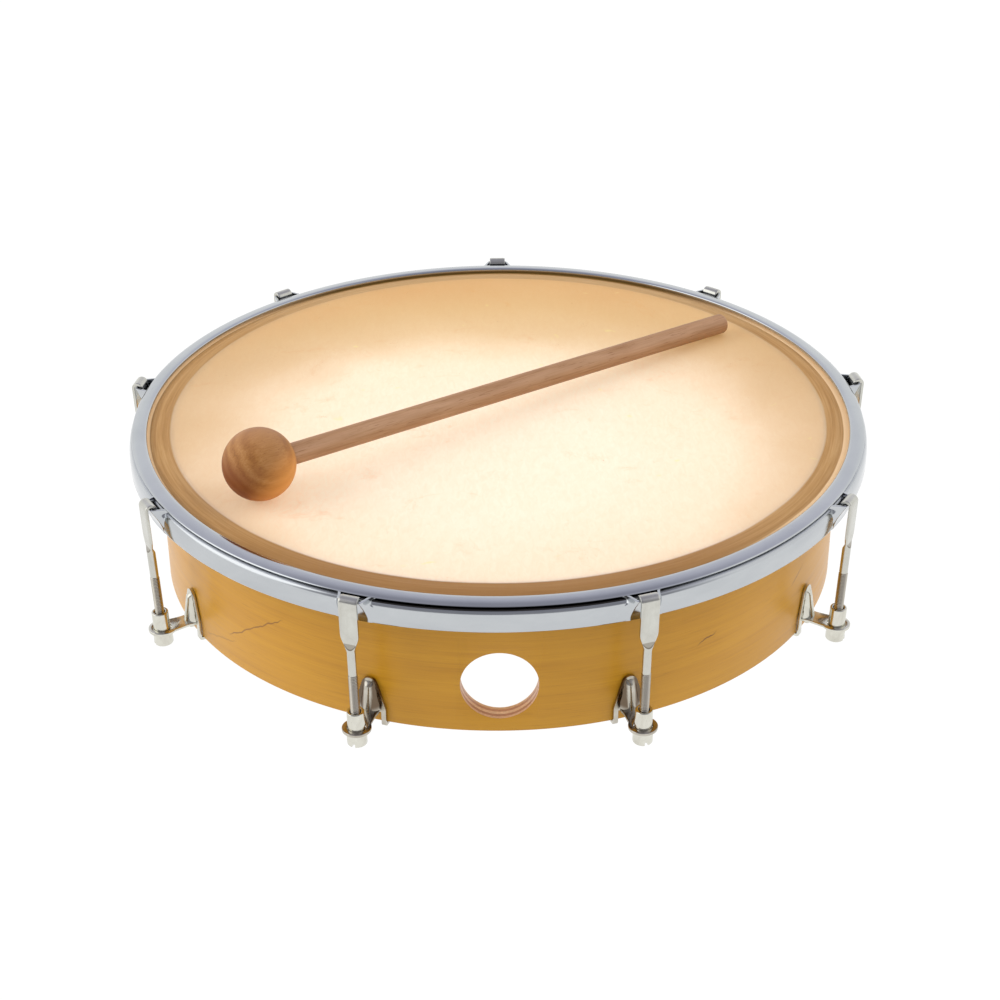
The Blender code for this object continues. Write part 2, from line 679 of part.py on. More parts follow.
def build_mallet(parts, cutters):
    """The ball head and its dowel, lying on the skin."""
    rest = SKIN_TOP + GAP
    start = Vector((*MALLET_HEAD_AT, rest + MALLET_HEAD_RADIUS))
    tip = Vector((*MALLET_TIP_AT, rest + MALLET_HANDLE_RADIUS))
    axis = (tip - start).normalized()
    length = (tip - start).length
    base = Vector((0.0, DRUM_AXIS_Y, SHELL_BOTTOM_Z))
    turn = axis.to_track_quat("Z", "Y").to_euler()

    ball_mesh = bpy.data.meshes.new("mallet_head")
    form = bmesh.new()
    bmesh.ops.create_uvsphere(form, u_segments=24, v_segments=14, radius=MALLET_HEAD_RADIUS)
    form.to_mesh(ball_mesh)
    form.free()
    head = mesh_object("mallet_head", ball_mesh, parts, "beech_head")
    head.location = base + start
    head.rotation_euler = turn
    bore_length = MALLET_HEAD_RADIUS * 2
    bore_radius = MALLET_HANDLE_RADIUS + GAP
    bore = cylinder("mallet_bore_cutter", bore_radius, bore_length, HANDLE_STEPS, cutters)
    bore.location = base + start + axis * (bore_length / 2 - MALLET_BORE_DEPTH)
    bore.rotation_euler = turn
    add_boolean(head, hide_cutter(bore), "DIFFERENCE")
    smooth(head, 40.0)

    low = GAP - MALLET_BORE_DEPTH
    radius = MALLET_HANDLE_RADIUS
    tip_arc = arc((radius - MALLET_TIP_ROUND, length - MALLET_TIP_ROUND), MALLET_TIP_ROUND, 90, 0, 3)
    profile = [(0.0, length)] + tip_arc + [(radius, low), (0.0, low)]
    handle = turned("mallet_handle", profile, HANDLE_STEPS, parts, "beech", flip=True)
    handle.location = base + start
    handle.rotation_euler = turn
    smooth(handle, 40.0)


def main():
    clear_scene()
    parts = new_collection("tunable_hand_drum")
    cutters = new_collection("cutters")
    build_shell(parts, cutters)
    build_flesh_hoop(parts)
    build_skin(parts)
    build_counter_hoop(parts, cutters)
    build_posts(parts, cutters)
    build_mallet(parts, cutters)


main()
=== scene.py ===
"""Looks for the tunable hand drum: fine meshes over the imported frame, procedural materials, a light table.

Lengths ending in MM are millimetres made metres. Heights are over the shell's lower edge, radii are
from the drum's axis, and every tensioner piece is made in its post's or rod's own frame.
"""

import json
from math import atan2, cos, hypot, pi, radians, sin, sqrt

import bmesh
import bpy
from mathutils import Matrix, Vector


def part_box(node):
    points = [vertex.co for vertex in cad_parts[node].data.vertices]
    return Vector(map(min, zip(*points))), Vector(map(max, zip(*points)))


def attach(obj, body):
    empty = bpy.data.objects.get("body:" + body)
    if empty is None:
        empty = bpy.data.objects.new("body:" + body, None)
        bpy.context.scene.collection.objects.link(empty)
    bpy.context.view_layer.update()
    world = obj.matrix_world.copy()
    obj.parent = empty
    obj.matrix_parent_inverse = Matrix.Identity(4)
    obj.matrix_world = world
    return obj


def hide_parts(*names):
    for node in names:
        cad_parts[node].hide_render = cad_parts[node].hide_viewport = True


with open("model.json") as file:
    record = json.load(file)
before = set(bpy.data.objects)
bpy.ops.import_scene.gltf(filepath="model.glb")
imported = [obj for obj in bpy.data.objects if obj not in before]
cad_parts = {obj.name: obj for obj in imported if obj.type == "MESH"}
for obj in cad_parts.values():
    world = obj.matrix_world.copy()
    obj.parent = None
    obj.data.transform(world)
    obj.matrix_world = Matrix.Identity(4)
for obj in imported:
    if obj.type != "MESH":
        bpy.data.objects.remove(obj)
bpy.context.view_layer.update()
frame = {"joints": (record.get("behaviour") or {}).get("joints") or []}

MM = 0.001
FINE = 256  # steps round the drum

# Camera
CAMERA_AT = (0.0006, -0.8075, 0.4818)
CAMERA_TILT = radians(60.163)
CAMERA_ROLL = radians(-0.357)
CAMERA_LENS = 74.93

# Softboxes mirrored in the metal: direction and radiance
SOFTBOXES = [((-1.25, -0.15, 0.55), 1.7), ((1.25, 0.1, 0.55), 1.0)]

# The drum's axis and its rods, from the frame
shell_low, shell_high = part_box("shell")
AXIS = Vector(((shell_low.x + shell_high.x) / 2, (shell_low.y + shell_high.y) / 2, shell_low.z))
ON_AXIS = Matrix.Translation(AXIS)
NUTS = [joint for joint in frame["joints"] if joint["child"].startswith("nut_")]
ROD_RADIUS = hypot(NUTS[0]["pos_m"][0] - AXIS.x, NUTS[0]["pos_m"][1] - AXIS.y)
ROD_LEAN = hypot(NUTS[0]["axis"][0], NUTS[0]["axis"][1])

# Millimetres
SHELL_OUTER = (shell_high.x - shell_low.x) / 2 / MM
SHELL_WALL = 7.5
SHELL_INNER = SHELL_OUTER - SHELL_WALL
SHELL_HEIGHT = (shell_high.z - shell_low.z) / MM
BEARING_ROUND = 2.0
THUMB_RADIUS = 15.25
THUMB_HEIGHT = 21.2
GAP = 0.3
SKIN_HALF = 0.25
SKIN_MIDDLE = SHELL_HEIGHT + GAP + SKIN_HALF
RING_INNER, RING_OUTER = 140.6, 149.0  # of the painted shadow ring on the skin
FLESH_RADIUS, FLESH_WIRE, FLESH_HEIGHT = 152.4, 2.8, 59.3
HOOP_INNER, HOOP_BAND, HOOP_BAND_LOW = 151.0, 158.8, 53.5
POCKET_TOP, POCKET_OUTER = 64.2, 163.0
SHEET = 1.2
FACE = SHELL_OUTER + GAP  # the back of a bracket's plate
FOOT_DEPTH = 4.5
FOOT_UNDER = -GAP - SHEET
PLATE_HALF, PLATE_TOP, PLATE_ROUND, PLATE_CORNER = 6.6, 20.3, 3.2, 6.4
WINDOW_HALF, WINDOW_TOP = 4.7, 5.3
LUG_LOW, LUG_THICK, LUG_HALF, LUG_RING = 4.9, 1.3, 4.1, 5.8
RIVET_HEIGHT = 8.6
NUT_SLEEVE, NUT_HEAD, NUT_BORE = 3.45, 4.0, 2.25
NUT_TOP, NUT_LOW = 14.1, -1.2
SLOT_WIDTH, SLOT_DEPTH = 1.5, 1.8
THREAD_CREST, THREAD_ROOT, THREAD_PITCH = 1.9, 1.52, 0.7
ROD_LOW, THREAD_HIGH, NECK_HIGH, SHOULDER_HIGH = 2.0, 31.2, 42.0, 50.0
NECK_RADIUS = 1.75
STRIP_HALF, STRIP_THICK, STRIP_SHIFT = 3.75, 0.7, 0.45
ROLL_HEIGHT, ROLL_RADIUS, LEG_LOW = 63.6, 1.9, 61.6
HOOP_STEPS = 360
HOOP_SHOULDER, HOOP_SHOULDER_RISE, HOOP_NECK = 60.0, 3.4, 156.2  # where the band closes in to the groove
GROOVE = (155.7, 157.7, 62.6, 64.2)  # least and greatest radius, then height
RIDGE_TOP, RIDGE_LOW_HALF, RIDGE_TOP_HALF, RIDGE_BULGE = 18.6, 4.15, 2.2, 1.15
RIVET_SHANK, RIVET_HEAD, RIVET_HEAD_THICK, RIVET_TAIL, RIVET_TAIL_THICK = 1.3, 3.2, 1.3, 1.6, 0.6
MALLET_HANDLE, MALLET_BORE, MALLET_SEAT, MALLET_TIP_ROUND = 4.5, 4.8, 10.0, 1.6
PAINTED_FRONT_REACH = 0.12  # metres in front of the axis beyond which a bracket takes the darker nickel with painted reflections

# Dark flaws in the birch: arc from the front, height and half length in millimetres, slope and how dark
WOOD_FLAWS = [
    (-107.0, 23.8, 14.0, 0.62, 0.65), (-131.0, 8.0, 9.0, 0.30, 0.30),
    (86.5, 26.0, 2.2, 0.4, 0.8), (144.0, 30.0, 2.5, 0.5, 0.5),
]


# ---------------------------------------------------------------- meshes


def smoothstep(t):
    t = min(max(t, 0.0), 1.0)
    return t * t * (3.0 - 2.0 * t)


def lerp(a, b, t):
    return a + (b - a) * t


def blended(points, faces, name):
    """A mesh from points in millimetres, with coincident points merged."""
    form = bmesh.new()
    verts = [form.verts.new(Vector(point) * MM) for point in points]
    for face in faces:
        form.faces.new([verts[i] for i in face])
    bmesh.ops.remove_doubles(form, verts=form.verts, dist=1e-7)
    mesh = bpy.data.meshes.new(name)
    form.to_mesh(mesh)
    form.free()
    return mesh


def outward(mesh):
    form = bmesh.new()
    form.from_mesh(mesh)
    bmesh.ops.recalc_face_normals(form, faces=form.faces)
    form.to_mesh(mesh)
    form.free()
    return mesh


def woven(rows, name, around=False, closed=True, caps=False):
    """A mesh through rows of points: around joins the last row to the first, closed the ends of each row."""
    count = len(rows[0])
    points = [point for row in rows for point in row]
    faces = []
    for i in range(len(rows) - (0 if around else 1)):
        low, high = i * count, (i + 1) % len(rows) * count
        for j in range(count - (0 if closed else 1)):
            k = (j + 1) % count
            faces.append((low + j, low + k, high + k, high + j))
    if caps:
        faces.append(tuple(range(count)))
        faces.append(tuple(range(len(points) - count, len(points))))
    return blended(points, faces, name)


def turned(profile, name, steps=FINE, closed=True):
    """A profile of (radius, height) points turned about Z."""
    rows = []
    for step in range(steps):
        a = 2 * pi * step / steps
        rows.append([(r * cos(a), r * sin(a), z) for r, z in profile])
    return outward(woven(rows, name, around=True, closed=closed))


def filleted(corners, steps=4):
    """A closed outline of (x, y, radius) corners with its corners rounded."""
    made = []
    for i, (x, y, radius) in enumerate(corners):
        corner = Vector((x, y))
        before = Vector(corners[i - 1][:2]) - corner
        after = Vector(corners[(i + 1) % len(corners)][:2]) - corner
        if radius <= 0.0:
            made.append((x, y))
            continue
        start = corner + before.normalized() * min(radius, before.length * 0.49)
        end = corner + after.normalized() * min(radius, after.length * 0.49)
        for step in range(steps + 1):
            t = step / steps
            p = start.lerp(corner, t).lerp(corner.lerp(end, t), t)
            made.append((p.x, p.y))
    return made


def arc(centre, radius, start, end, steps):
    angles = [radians(start + (end - start) * i / steps) for i in range(steps + 1)]
    return [(centre[0] + radius * cos(a), centre[1] + radius * sin(a)) for a in angles]


def applied(mesh, *steps):
    """The mesh after modifiers, each given as (type, settings)."""
    obj = bpy.data.objects.new("work", mesh)
    bpy.context.scene.collection.objects.link(obj)
    for kind, settings in steps:
        step = obj.modifiers.new(kind, kind)
        for key, value in settings.items():
            setattr(step, key, value)
    evaluated = obj.evaluated_get(bpy.context.evaluated_depsgraph_get())
    made = bpy.data.meshes.new_from_object(evaluated)
    made.name = mesh.name
    bpy.data.objects.remove(obj)
    return made


def cut(mesh, *cutters):
    """The mesh with the cutter meshes taken away."""
    objects = []
    for cutter in cutters:
        obj = bpy.data.objects.new("cutter", cutter)
        bpy.context.scene.collection.objects.link(obj)
        objects.append(obj)
    steps = [
        ("BOOLEAN", {"operation": "DIFFERENCE", "object": obj, "solver": "EXACT"}) for obj in objects
    ]
    made = applied(mesh, *steps)
    for obj in objects:
        bpy.data.objects.remove(obj)
    return made


def joined(name, parts):
    """One mesh of (mesh, matrix) parts."""
    form = bmesh.new()
    for mesh, matrix in parts:
        copy = mesh.copy()
        copy.transform(matrix)
        form.from_mesh(copy)
        bpy.data.meshes.remove(copy)
    made = bpy.data.meshes.new(name)
    form.to_mesh(made)
    form.free()
    return made


def facing(mesh, direction):
    """An open sheet with its faces turned to point along direction."""
    form = bmesh.new()
    form.from_mesh(mesh)
    form.normal_update()
    if sum(face.normal.dot(Vector(direction)) * face.calc_area() for face in form.faces) < 0.0:
        bmesh.ops.reverse_faces(form, faces=form.faces)
    form.to_mesh(mesh)
    form.free()
    return mesh


def piece(name, mesh, body, node, material, matrix=ON_AXIS, sharp=35.0):
    """A shown object for a CAD node: it rides on the node's body and takes the given material."""
    obj = bpy.data.objects.new(name, mesh)
    bpy.context.scene.collection.objects.link(obj)
    obj.matrix_world = matrix
    if not mesh.materials:
        mesh.materials.append(material)
    mesh.shade_smooth()
    mesh.set_sharp_from_angle(angle=radians(sharp))
    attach(obj, body)
    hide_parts(node)


# ---------------------------------------------------------------- materials


def srgb(r, g, b):
    """A colour as 0 to 255 screen values, made linear."""
    def linear(v):
        v /= 255.0
        return v / 12.92 if v <= 0.04045 else ((v + 0.055) / 1.055) ** 2.4
    return (linear(r), linear(g), linear(b), 1.0)


class Shader:
    """The node tree of a new material, or of the world, built call by call."""

    def __init__(self, name, owner=None):
        self.owner = owner or bpy.data.materials.new(name)
        self.owner.use_nodes = True
        self.tree = self.owner.node_tree
        self.tree.nodes.clear()

    def add(self, kind, inputs=None, output=0, **settings):
        made = self.tree.nodes.new("ShaderNode" + kind)
        for key, value in settings.items():
            setattr(made, key, value)
        for key, value in (inputs or {}).items():
            if isinstance(value, bpy.types.NodeSocket):
                self.tree.links.new(value, made.inputs[key])
            else:
                made.inputs[key].default_value = value
        return made.outputs[output]

    def math(self, operation, a, b=0.0):
        return self.add("Math", {0: a, 1: b}, operation=operation)

    def vector(self, x, y, z):
        return self.add("CombineXYZ", {0: x, 1: y, 2: z})

    def point(self):
        """The x, y and z of a place on the object."""
        coordinate = self.add("TexCoord", output=3)
        return [self.add("SeparateXYZ", {0: coordinate}, output=i) for i in range(3)]

    def scaled(self, xyz, factors):
        return self.vector(*[self.math("MULTIPLY", v, f) for v, f in zip(xyz, factors)])

    def noise(self, vector, detail=3.0, roughness=0.5, distortion=0.0):
        inputs = {"Scale": 1.0, "Detail": detail, "Roughness": roughness, "Distortion": distortion}
        return self.add("TexNoise", {"Vector": vector, **inputs})

    def ramp(self, factor, stops, interpolation="LINEAR"):
        socket = self.add("ValToRGB", {0: factor})
        ramp = socket.node.color_ramp
        ramp.interpolation = interpolation
        while len(ramp.elements) < len(stops):
            ramp.elements.new(0.5)
        for element, (place, colour) in zip(ramp.elements, stops):
            element.position = place
            element.color = colour if len(colour) == 4 else (*colour, 1.0)
        return socket

    def band(self, factor, low, high, soft):
        """1 between low and high, fading over soft outside them."""
        up = self.add("MapRange", {0: factor, 1: low - soft, 2: low, 3: 0.0, 4: 1.0})
        down = self.add("MapRange", {0: factor, 1: high, 2: high + soft, 3: 1.0, 4: 0.0})
        return self.math("MULTIPLY", up, down)

    def mix(self, factor, a, b):
        return self.add("Mix", {0: factor, 6: a, 7: b}, output=2, data_type="RGBA")

    def spread(self, factor, low, high):
        return self.add("MapRange", {0: factor, 1: 0.3, 2: 0.7, 3: low, 4: high})

    def bump(self, height, strength, distance):
        return self.add("Bump", {"Height": height, "Strength": strength, "Distance": distance})

    def step(self, value, low, high, to_low=0.0, to_high=1.0):
        """A soft step from to_low at low to to_high at high."""
        inputs = {0: value, 1: low, 2: high, 3: to_low, 4: to_high}
        return self.add("MapRange", inputs, interpolation_type="SMOOTHSTEP")

    def dot(self, xyz, direction):
        """How far a place or direction lies along another direction."""
        x, y, z = [self.math("MULTIPLY", v, f) for v, f in zip(xyz, direction)]
        return self.math("ADD", self.math("ADD", x, y), z)

    def surface(self, inputs):
        return self.add("BsdfPrincipled", inputs)

    def end(self, shader, kind="OutputMaterial"):
        out = self.tree.nodes.new("ShaderNode" + kind)
        self.tree.links.new(shader, out.inputs["Surface"])
        return self.owner


def ring_places(shader):
    """Arc length from the front, radius and height, in metres, on a piece turned about the drum's axis."""
    x, y, z = shader.point()
    back = shader.math("MULTIPLY", y, -1.0)
    angle = shader.math("ARCTAN2", x, back)
    arc_length = shader.math("MULTIPLY", angle, SHELL_OUTER * MM)
    squares = shader.math("ADD", shader.math("MULTIPLY", x, x), shader.math("MULTIPLY", y, y))
    return arc_length, shader.math("SQRT", squares), z


def plywood_material():
    s = Shader("birch_plywood")
    along, radius, height = ring_places(s)
    fine = s.noise(s.scaled((along, radius, height), (26.0, 60.0, 1500.0)), 5.0, 0.62)
    broad = s.noise(s.scaled((along, radius, height), (7.0, 5.0, 170.0)), 3.0, 0.55, 0.6)
    cloud = s.noise(s.scaled((along, radius, height), (16.0, 5.0, 38.0)), 2.0, 0.5, 0.8)
    grain = s.math("ADD", s.math("MULTIPLY", fine, 0.5), s.math("MULTIPLY", broad, 0.5))
    face = s.ramp(grain, [
        (0.24, srgb(164, 110, 12)), (0.44, srgb(184, 128, 17)),
        (0.58, srgb(192, 137, 22)), (0.80, srgb(202, 149, 36)),
    ])
    face = s.mix(s.spread(cloud, 0.0, 0.4), face, srgb(200, 144, 34))
    pores = s.noise(s.scaled((along, radius, height), (95.0, 60.0, 3600.0)), 2.0, 0.5)
    pore_mask = s.add("MapRange", {0: pores, 1: 0.64, 2: 0.74, 3: 0.0, 4: 0.35})
    face = s.mix(pore_mask, face, srgb(122, 74, 18))
    streaks = s.noise(s.scaled((along, radius, height), (17.0, 3.0, 420.0)), 2.0, 0.5, 0.4)
    streak_mask = s.add("MapRange", {0: streaks, 1: 0.70, 2: 0.76, 3: 0.0, 4: 0.10})
    face = s.mix(streak_mask, face, srgb(112, 66, 20))
    warp = s.noise(s.scaled((along, radius, height), (130.0, 60.0, 60.0)), 3.0, 0.6)
    for place, rise, reach, slope, weight in WOOD_FLAWS:
        line = s.math("ADD", height, s.math("MULTIPLY", s.math("SUBTRACT", warp, 0.5), 4.5 * MM))
        line = s.math("SUBTRACT", line, s.math("MULTIPLY", s.math("SUBTRACT", along, place * MM), slope))
        across = s.band(line, (rise - 0.12) * MM, (rise + 0.12) * MM, 0.35 * MM)
        length = s.band(along, (place - reach) * MM, (place + reach) * MM, 3.0 * MM)
        face = s.mix(s.math("MULTIPLY", s.math("MULTIPLY", across, length), weight), face, srgb(92, 50, 16))

    depth = s.add("MapRange", {
        0: radius, 1: SHELL_INNER * MM, 2: SHELL_OUTER * MM, 3: 0.0, 4: 1.0,
    })
    plies = s.ramp(depth, [
        (0.0, srgb(228, 190, 146)), (0.18, srgb(196, 142, 108)), (0.38, srgb(236, 200, 160)),
        (0.60, srgb(188, 132, 98)), (0.80, srgb(230, 188, 148)),
    ], "CONSTANT")
    rough_ply = s.noise(s.scaled((along, radius, height), (900.0, 2600.0, 900.0)), 3.0, 0.6)
    plies = s.mix(s.spread(rough_ply, 0.0, 0.5), plies, srgb(122, 78, 54))
    inner_face = s.mix(s.spread(fine, 0.0, 0.6), srgb(226, 200, 160), srgb(198, 164, 118))
    edge_mask = s.band(depth, 0.03, 0.965, 0.015)
    outer_mask = s.add("MapRange", {0: depth, 1: 0.4, 2: 0.6, 3: 0.0, 4: 1.0})
    colour = s.mix(edge_mask, s.mix(outer_mask, inner_face, face), plies)
    roughness = s.spread(s.math("ADD", fine, s.math("MULTIPLY", edge_mask, 0.3)), 0.30, 0.46)
    bump = s.bump(s.math("ADD", fine, s.math("MULTIPLY", pores, 0.4)), 0.10, 0.0003)
    return s.end(s.surface({
        "Base Color": colour, "Roughness": roughness, "Normal": bump,
        "Coat Weight": 0.30, "Coat Roughness": 0.28, "Specular IOR Level": 0.25,
    }))


def skin_material():
    s = Shader("goat_skin")
    x, y, z = s.point()
    along, radius, height = ring_places(s)
    # painted light and shade: the base colour is near white over the near half, where the light table glows
    # through, and darker and browner over the far half, which has the brown wall behind it
    forward = s.math("ADD", y, 0.048)
    reach = s.math("SQRT", s.math("ADD", s.math("MULTIPLY", x, x), s.math("MULTIPLY", forward, forward)))
    cloud = s.noise(s.scaled((x, y, z), (14.0, 14.0, 14.0)), 4.0, 0.55, 0.3)
    reach = s.math("ADD", reach, s.math("MULTIPLY", s.math("SUBTRACT", cloud, 0.5), 0.045))
    tone = s.add("MapRange", {0: reach, 1: 0.05, 2: 0.20, 3: 0.0, 4: 1.0})
    colour = s.ramp(tone, [
        (0.0, srgb(252, 247, 232)), (0.30, srgb(250, 243, 224)), (0.55, srgb(238, 218, 182)),
        (0.75, srgb(232, 206, 162)), (0.92, srgb(229, 196, 148)),
    ])
    fibres = s.noise(s.scaled((x, y, z), (420.0, 150.0, 200.0)), 4.0, 0.65, 1.2)
    colour = s.mix(s.spread(fibres, 0.0, 0.16), colour, srgb(222, 186, 138))
    blotch = s.noise(s.scaled((x, y, z), (46.0, 60.0, 40.0)), 5.0, 0.7, 1.0)
    blotch_mask = s.add("MapRange", {0: blotch, 1: 0.60, 2: 0.78, 3: 0.0, 4: 0.35})
    colour = s.mix(blotch_mask, colour, srgb(226, 180, 118))
    spots = s.noise(s.scaled((x, y, z), (95.0, 120.0, 80.0)), 2.0, 0.5, 0.6)
    spot_mask = s.add("MapRange", {0: spots, 1: 0.72, 2: 0.80, 3: 0.0, 4: 0.55})
    colour = s.mix(spot_mask, colour, srgb(244, 236, 176))
    hairs = s.noise(s.scaled((x, y, z), (900.0, 260.0, 200.0)), 3.0, 0.6, 2.2)
    hair_mask = s.math(
        "MULTIPLY", s.add("MapRange", {0: hairs, 1: 0.66, 2: 0.72, 3: 0.0, 4: 0.35}),
        s.add("MapRange", {0: blotch, 1: 0.52, 2: 0.62, 3: 0.0, 4: 1.0}),
    )
    colour = s.mix(hair_mask, colour, srgb(176, 140, 100))

    # a brown ring, partly the bearing edge's wood seen through the skin and partly painted shadow where the
    # shell's wall blocks the light table's glow; faint at the back, with the slope to the hoop outside it
    wobble = s.noise(s.scaled((x, y, z), (30.0, 30.0, 30.0)), 2.0, 0.5)
    edge_radius = s.math("ADD", radius, s.math("MULTIPLY", s.math("SUBTRACT", wobble, 0.5), 0.0007))
    ring = s.math(
        "MULTIPLY", s.step(edge_radius, RING_INNER * MM, (RING_INNER + 1.1) * MM),
        s.step(y, 0.07, 0.14, 0.95, 0.55),
    )
    ring_grain = s.noise(s.scaled((along, radius, z), (28.0, 950.0, 40.0)), 4.0, 0.6, 0.5)
    wall_shadow_colour = s.ramp(ring_grain, [
        (0.30, srgb(166, 119, 64)), (0.50, srgb(184, 138, 81)), (0.72, srgb(198, 155, 100)),
    ])
    # painted shade: the ring is darker at the front, by the hoop's edge
    wall_shadow_colour = s.mix(s.step(y, -0.135, -0.09, 0.7, 0.0), wall_shadow_colour, srgb(148, 98, 36))
    colour = s.mix(ring, colour, wall_shadow_colour)
    beside = s.step(s.math("DIVIDE", s.math("ABSOLUTE", x), radius), 0.45, 0.9)
    # the skin is drawn a little further out at +X
    pulled = s.math("ADD", edge_radius, s.math("MULTIPLY", x, 0.0045))
    outside = s.step(pulled, RING_OUTER * MM, (RING_OUTER + 0.5) * MM)
    # painted light and shade: the slope outside the ring is brown at the front, in the flange's shadow, and
    # pale peach at the sides, where the softboxes light it
    painted_slope_colour = s.mix(beside, srgb(148, 100, 50), srgb(234, 204, 162))
    colour = s.mix(s.math("MULTIPLY", outside, 0.9), colour, painted_slope_colour)

    height_map = s.math("ADD", s.math("MULTIPLY", fibres, 0.6), s.math("MULTIPLY", cloud, 0.8))
    bump = s.bump(height_map, 0.22, 0.0004)
    front = s.surface({
        "Base Color": colour, "Roughness": s.spread(fibres, 0.42, 0.60), "Normal": bump,
        "Specular IOR Level": s.math("SUBTRACT", 0.35, s.math("MULTIPLY", ring, 0.25)),
    })
    through = s.add("BsdfTranslucent", {"Color": colour, "Normal": bump})
    open_share = s.math("SUBTRACT", 1.0, ring)
    lit_through = s.math("ADD", 0.08, s.math("MULTIPLY", open_share, 0.44))
    lit = s.add("MixShader", {0: lit_through, 1: front, 2: through})
    # painted light: an emission standing in for the light table's glow through the open skin, weaker and
    # warmer towards the back and none over the ring, with an orange glow on the slope at the sides where the
    # softboxes light it
    glow_colour = s.mix(s.step(tone, 0.30, 0.75), (0.105, 0.072, 0.060, 1.0), (0.045, 0.035, 0.020, 1.0))
    glow_colour = s.mix(s.step(y, 0.02, 0.14), glow_colour, (0.095, 0.068, 0.016, 1.0))
    glow_colour = s.mix(open_share, (0.0, 0.0, 0.0, 1.0), glow_colour)
    glow_colour = s.mix(s.math("MULTIPLY", outside, beside), glow_colour, (0.19, 0.12, 0.055, 1.0))
    glow = s.add("Emission", {"Color": glow_colour, "Strength": 1.0})
    return s.end(s.add("AddShader", {0: lit, 1: glow}))


def chrome_material():
    s = Shader("chrome_plate")
    along, radius, height = ring_places(s)
    smudge = s.noise(s.scaled((along, radius, height), (34.0, 60.0, 90.0)), 4.0, 0.6, 0.5)
    fine = s.noise(s.scaled((along, radius, height), (160.0, 3000.0, 3000.0)), 3.0, 0.6)
    colour = s.mix(s.spread(smudge, 0.0, 1.0), (0.49, 0.51, 0.53, 1.0), (0.55, 0.57, 0.585, 1.0))
    roughness = s.math("ADD", s.spread(smudge, 0.05, 0.13), s.math("MULTIPLY", fine, 0.04))
    bump = s.bump(s.math("ADD", s.math("MULTIPLY", smudge, 0.7), s.math("MULTIPLY", fine, 0.1)), 0.06, 0.0004)
    return s.end(s.surface({
        "Base Color": colour, "Metallic": 1.0, "Roughness": roughness, "Normal": bump,
    }))


def groove_material():
    """The groove under the bead: painted shade and painted dark reflection, black at the front and back,
    fading to plain chrome towards the sides.
    """
    s = Shader("groove_painted_dark")
    x = s.point()[0]
    along, radius, height = ring_places(s)
    dark_mottle = s.noise(s.scaled((along, radius, height), (90.0, 900.0, 900.0)), 4.0, 0.6)
    colour = s.mix(s.spread(dark_mottle, 0.0, 1.0), (0.035, 0.033, 0.03, 1.0), (0.07, 0.066, 0.06, 1.0))
    plain_sides = s.step(s.math("DIVIDE", s.math("ABSOLUTE", x), radius), 0.28, 0.52)
    colour = s.mix(plain_sides, colour, (0.50, 0.52, 0.54, 1.0))
    bump = s.bump(dark_mottle, 0.2, 0.0002)
    return s.end(s.surface({
        "Base Color": colour, "Metallic": 1.0, "Roughness": s.spread(dark_mottle, 0.25, 0.45), "Normal": bump,
    }))


def nickel_material(name, light, dark, rough_low, rough_high, thread=False, flanks=False):
    """Nickel plate with polishing marks and faint stains, with painted shade on a hook's neck and a painted
    brown reflection beside a bracket's ridge.
    """
    s = Shader(name)
    xyz = s.point()
    marks = s.noise(s.scaled(xyz, (700.0, 2200.0, 160.0)), 3.0, 0.6)
    stain = s.noise(s.scaled(xyz, (160.0, 160.0, 90.0)), 4.0, 0.6, 0.6)
    colour = s.mix(s.spread(stain, 0.0, 1.0), light, dark)
    pits = s.noise(s.scaled(xyz, (1700.0, 1700.0, 1700.0)), 2.0, 0.5)
    pit_mask = s.add("MapRange", {0: pits, 1: 0.70, 2: 0.78, 3: 0.0, 4: 0.4})
    colour = s.mix(pit_mask, colour, (0.25, 0.23, 0.20, 1.0))
    roughness = s.math("ADD", s.spread(stain, rough_low, rough_high), s.math("MULTIPLY", marks, 0.06))
    if thread:
        on_thread = s.band(xyz[2], 0.0, THREAD_HIGH * MM, 0.0003)
        colour = s.mix(s.math("MULTIPLY", on_thread, 0.75), colour, (0.50, 0.46, 0.385, 1.0))
        roughness = s.math("ADD", roughness, s.math("MULTIPLY", on_thread, 0.10))
        # painted shade: a dark crescent, darkest along its curve, where the strip's flat face meets the round
        # neck it has been forged out of
        rise = s.math("SUBTRACT", xyz[2], s.math("MULTIPLY", s.math("MULTIPLY", xyz[1], xyz[1]), 330.0))
        neck_shade = s.math("MULTIPLY", s.step(rise, (NECK_HIGH + 1.2) * MM, (NECK_HIGH + 1.5) * MM),
                      s.step(xyz[2], (NECK_HIGH + 4.2) * MM, (NECK_HIGH + 3.9) * MM))
        neck_shade = s.math("MULTIPLY", neck_shade, s.band(xyz[1], -2.3 * MM, 2.3 * MM, 0.3 * MM))
        colour = s.mix(s.math("MULTIPLY", neck_shade, 0.75), colour, (0.30, 0.27, 0.22, 1.0))
        crease = s.math("MULTIPLY", neck_shade, s.step(rise, (NECK_HIGH + 2.1) * MM, (NECK_HIGH + 1.6) * MM))
        colour = s.mix(s.math("MULTIPLY", crease, 0.7), colour, (0.10, 0.075, 0.05, 1.0))
    # painted reflection: brown reflections of the shell painted on the flanks beside the ridge
    if flanks:
        ragged = s.math("MULTIPLY", s.math("SUBTRACT", stain, 0.5), 0.002)
        beside = s.math("ADD", s.math("ABSOLUTE", xyz[1]), ragged)
        rise = s.step(xyz[2], WINDOW_TOP * MM, (WINDOW_TOP + 3.0) * MM)
        flank_reflection = s.math("MULTIPLY", s.band(beside, 2.0 * MM, 4.8 * MM, 0.7 * MM), rise)
        colour = s.mix(s.math("MULTIPLY", flank_reflection, 0.9), colour, (0.12, 0.078, 0.045, 1.0))
    bump = s.bump(s.math("ADD", marks, s.math("MULTIPLY", pits, 0.5)), 0.05, 0.0002)
    return s.end(s.surface({
        "Base Color": colour, "Metallic": 1.0, "Roughness": roughness, "Normal": bump,
    }))


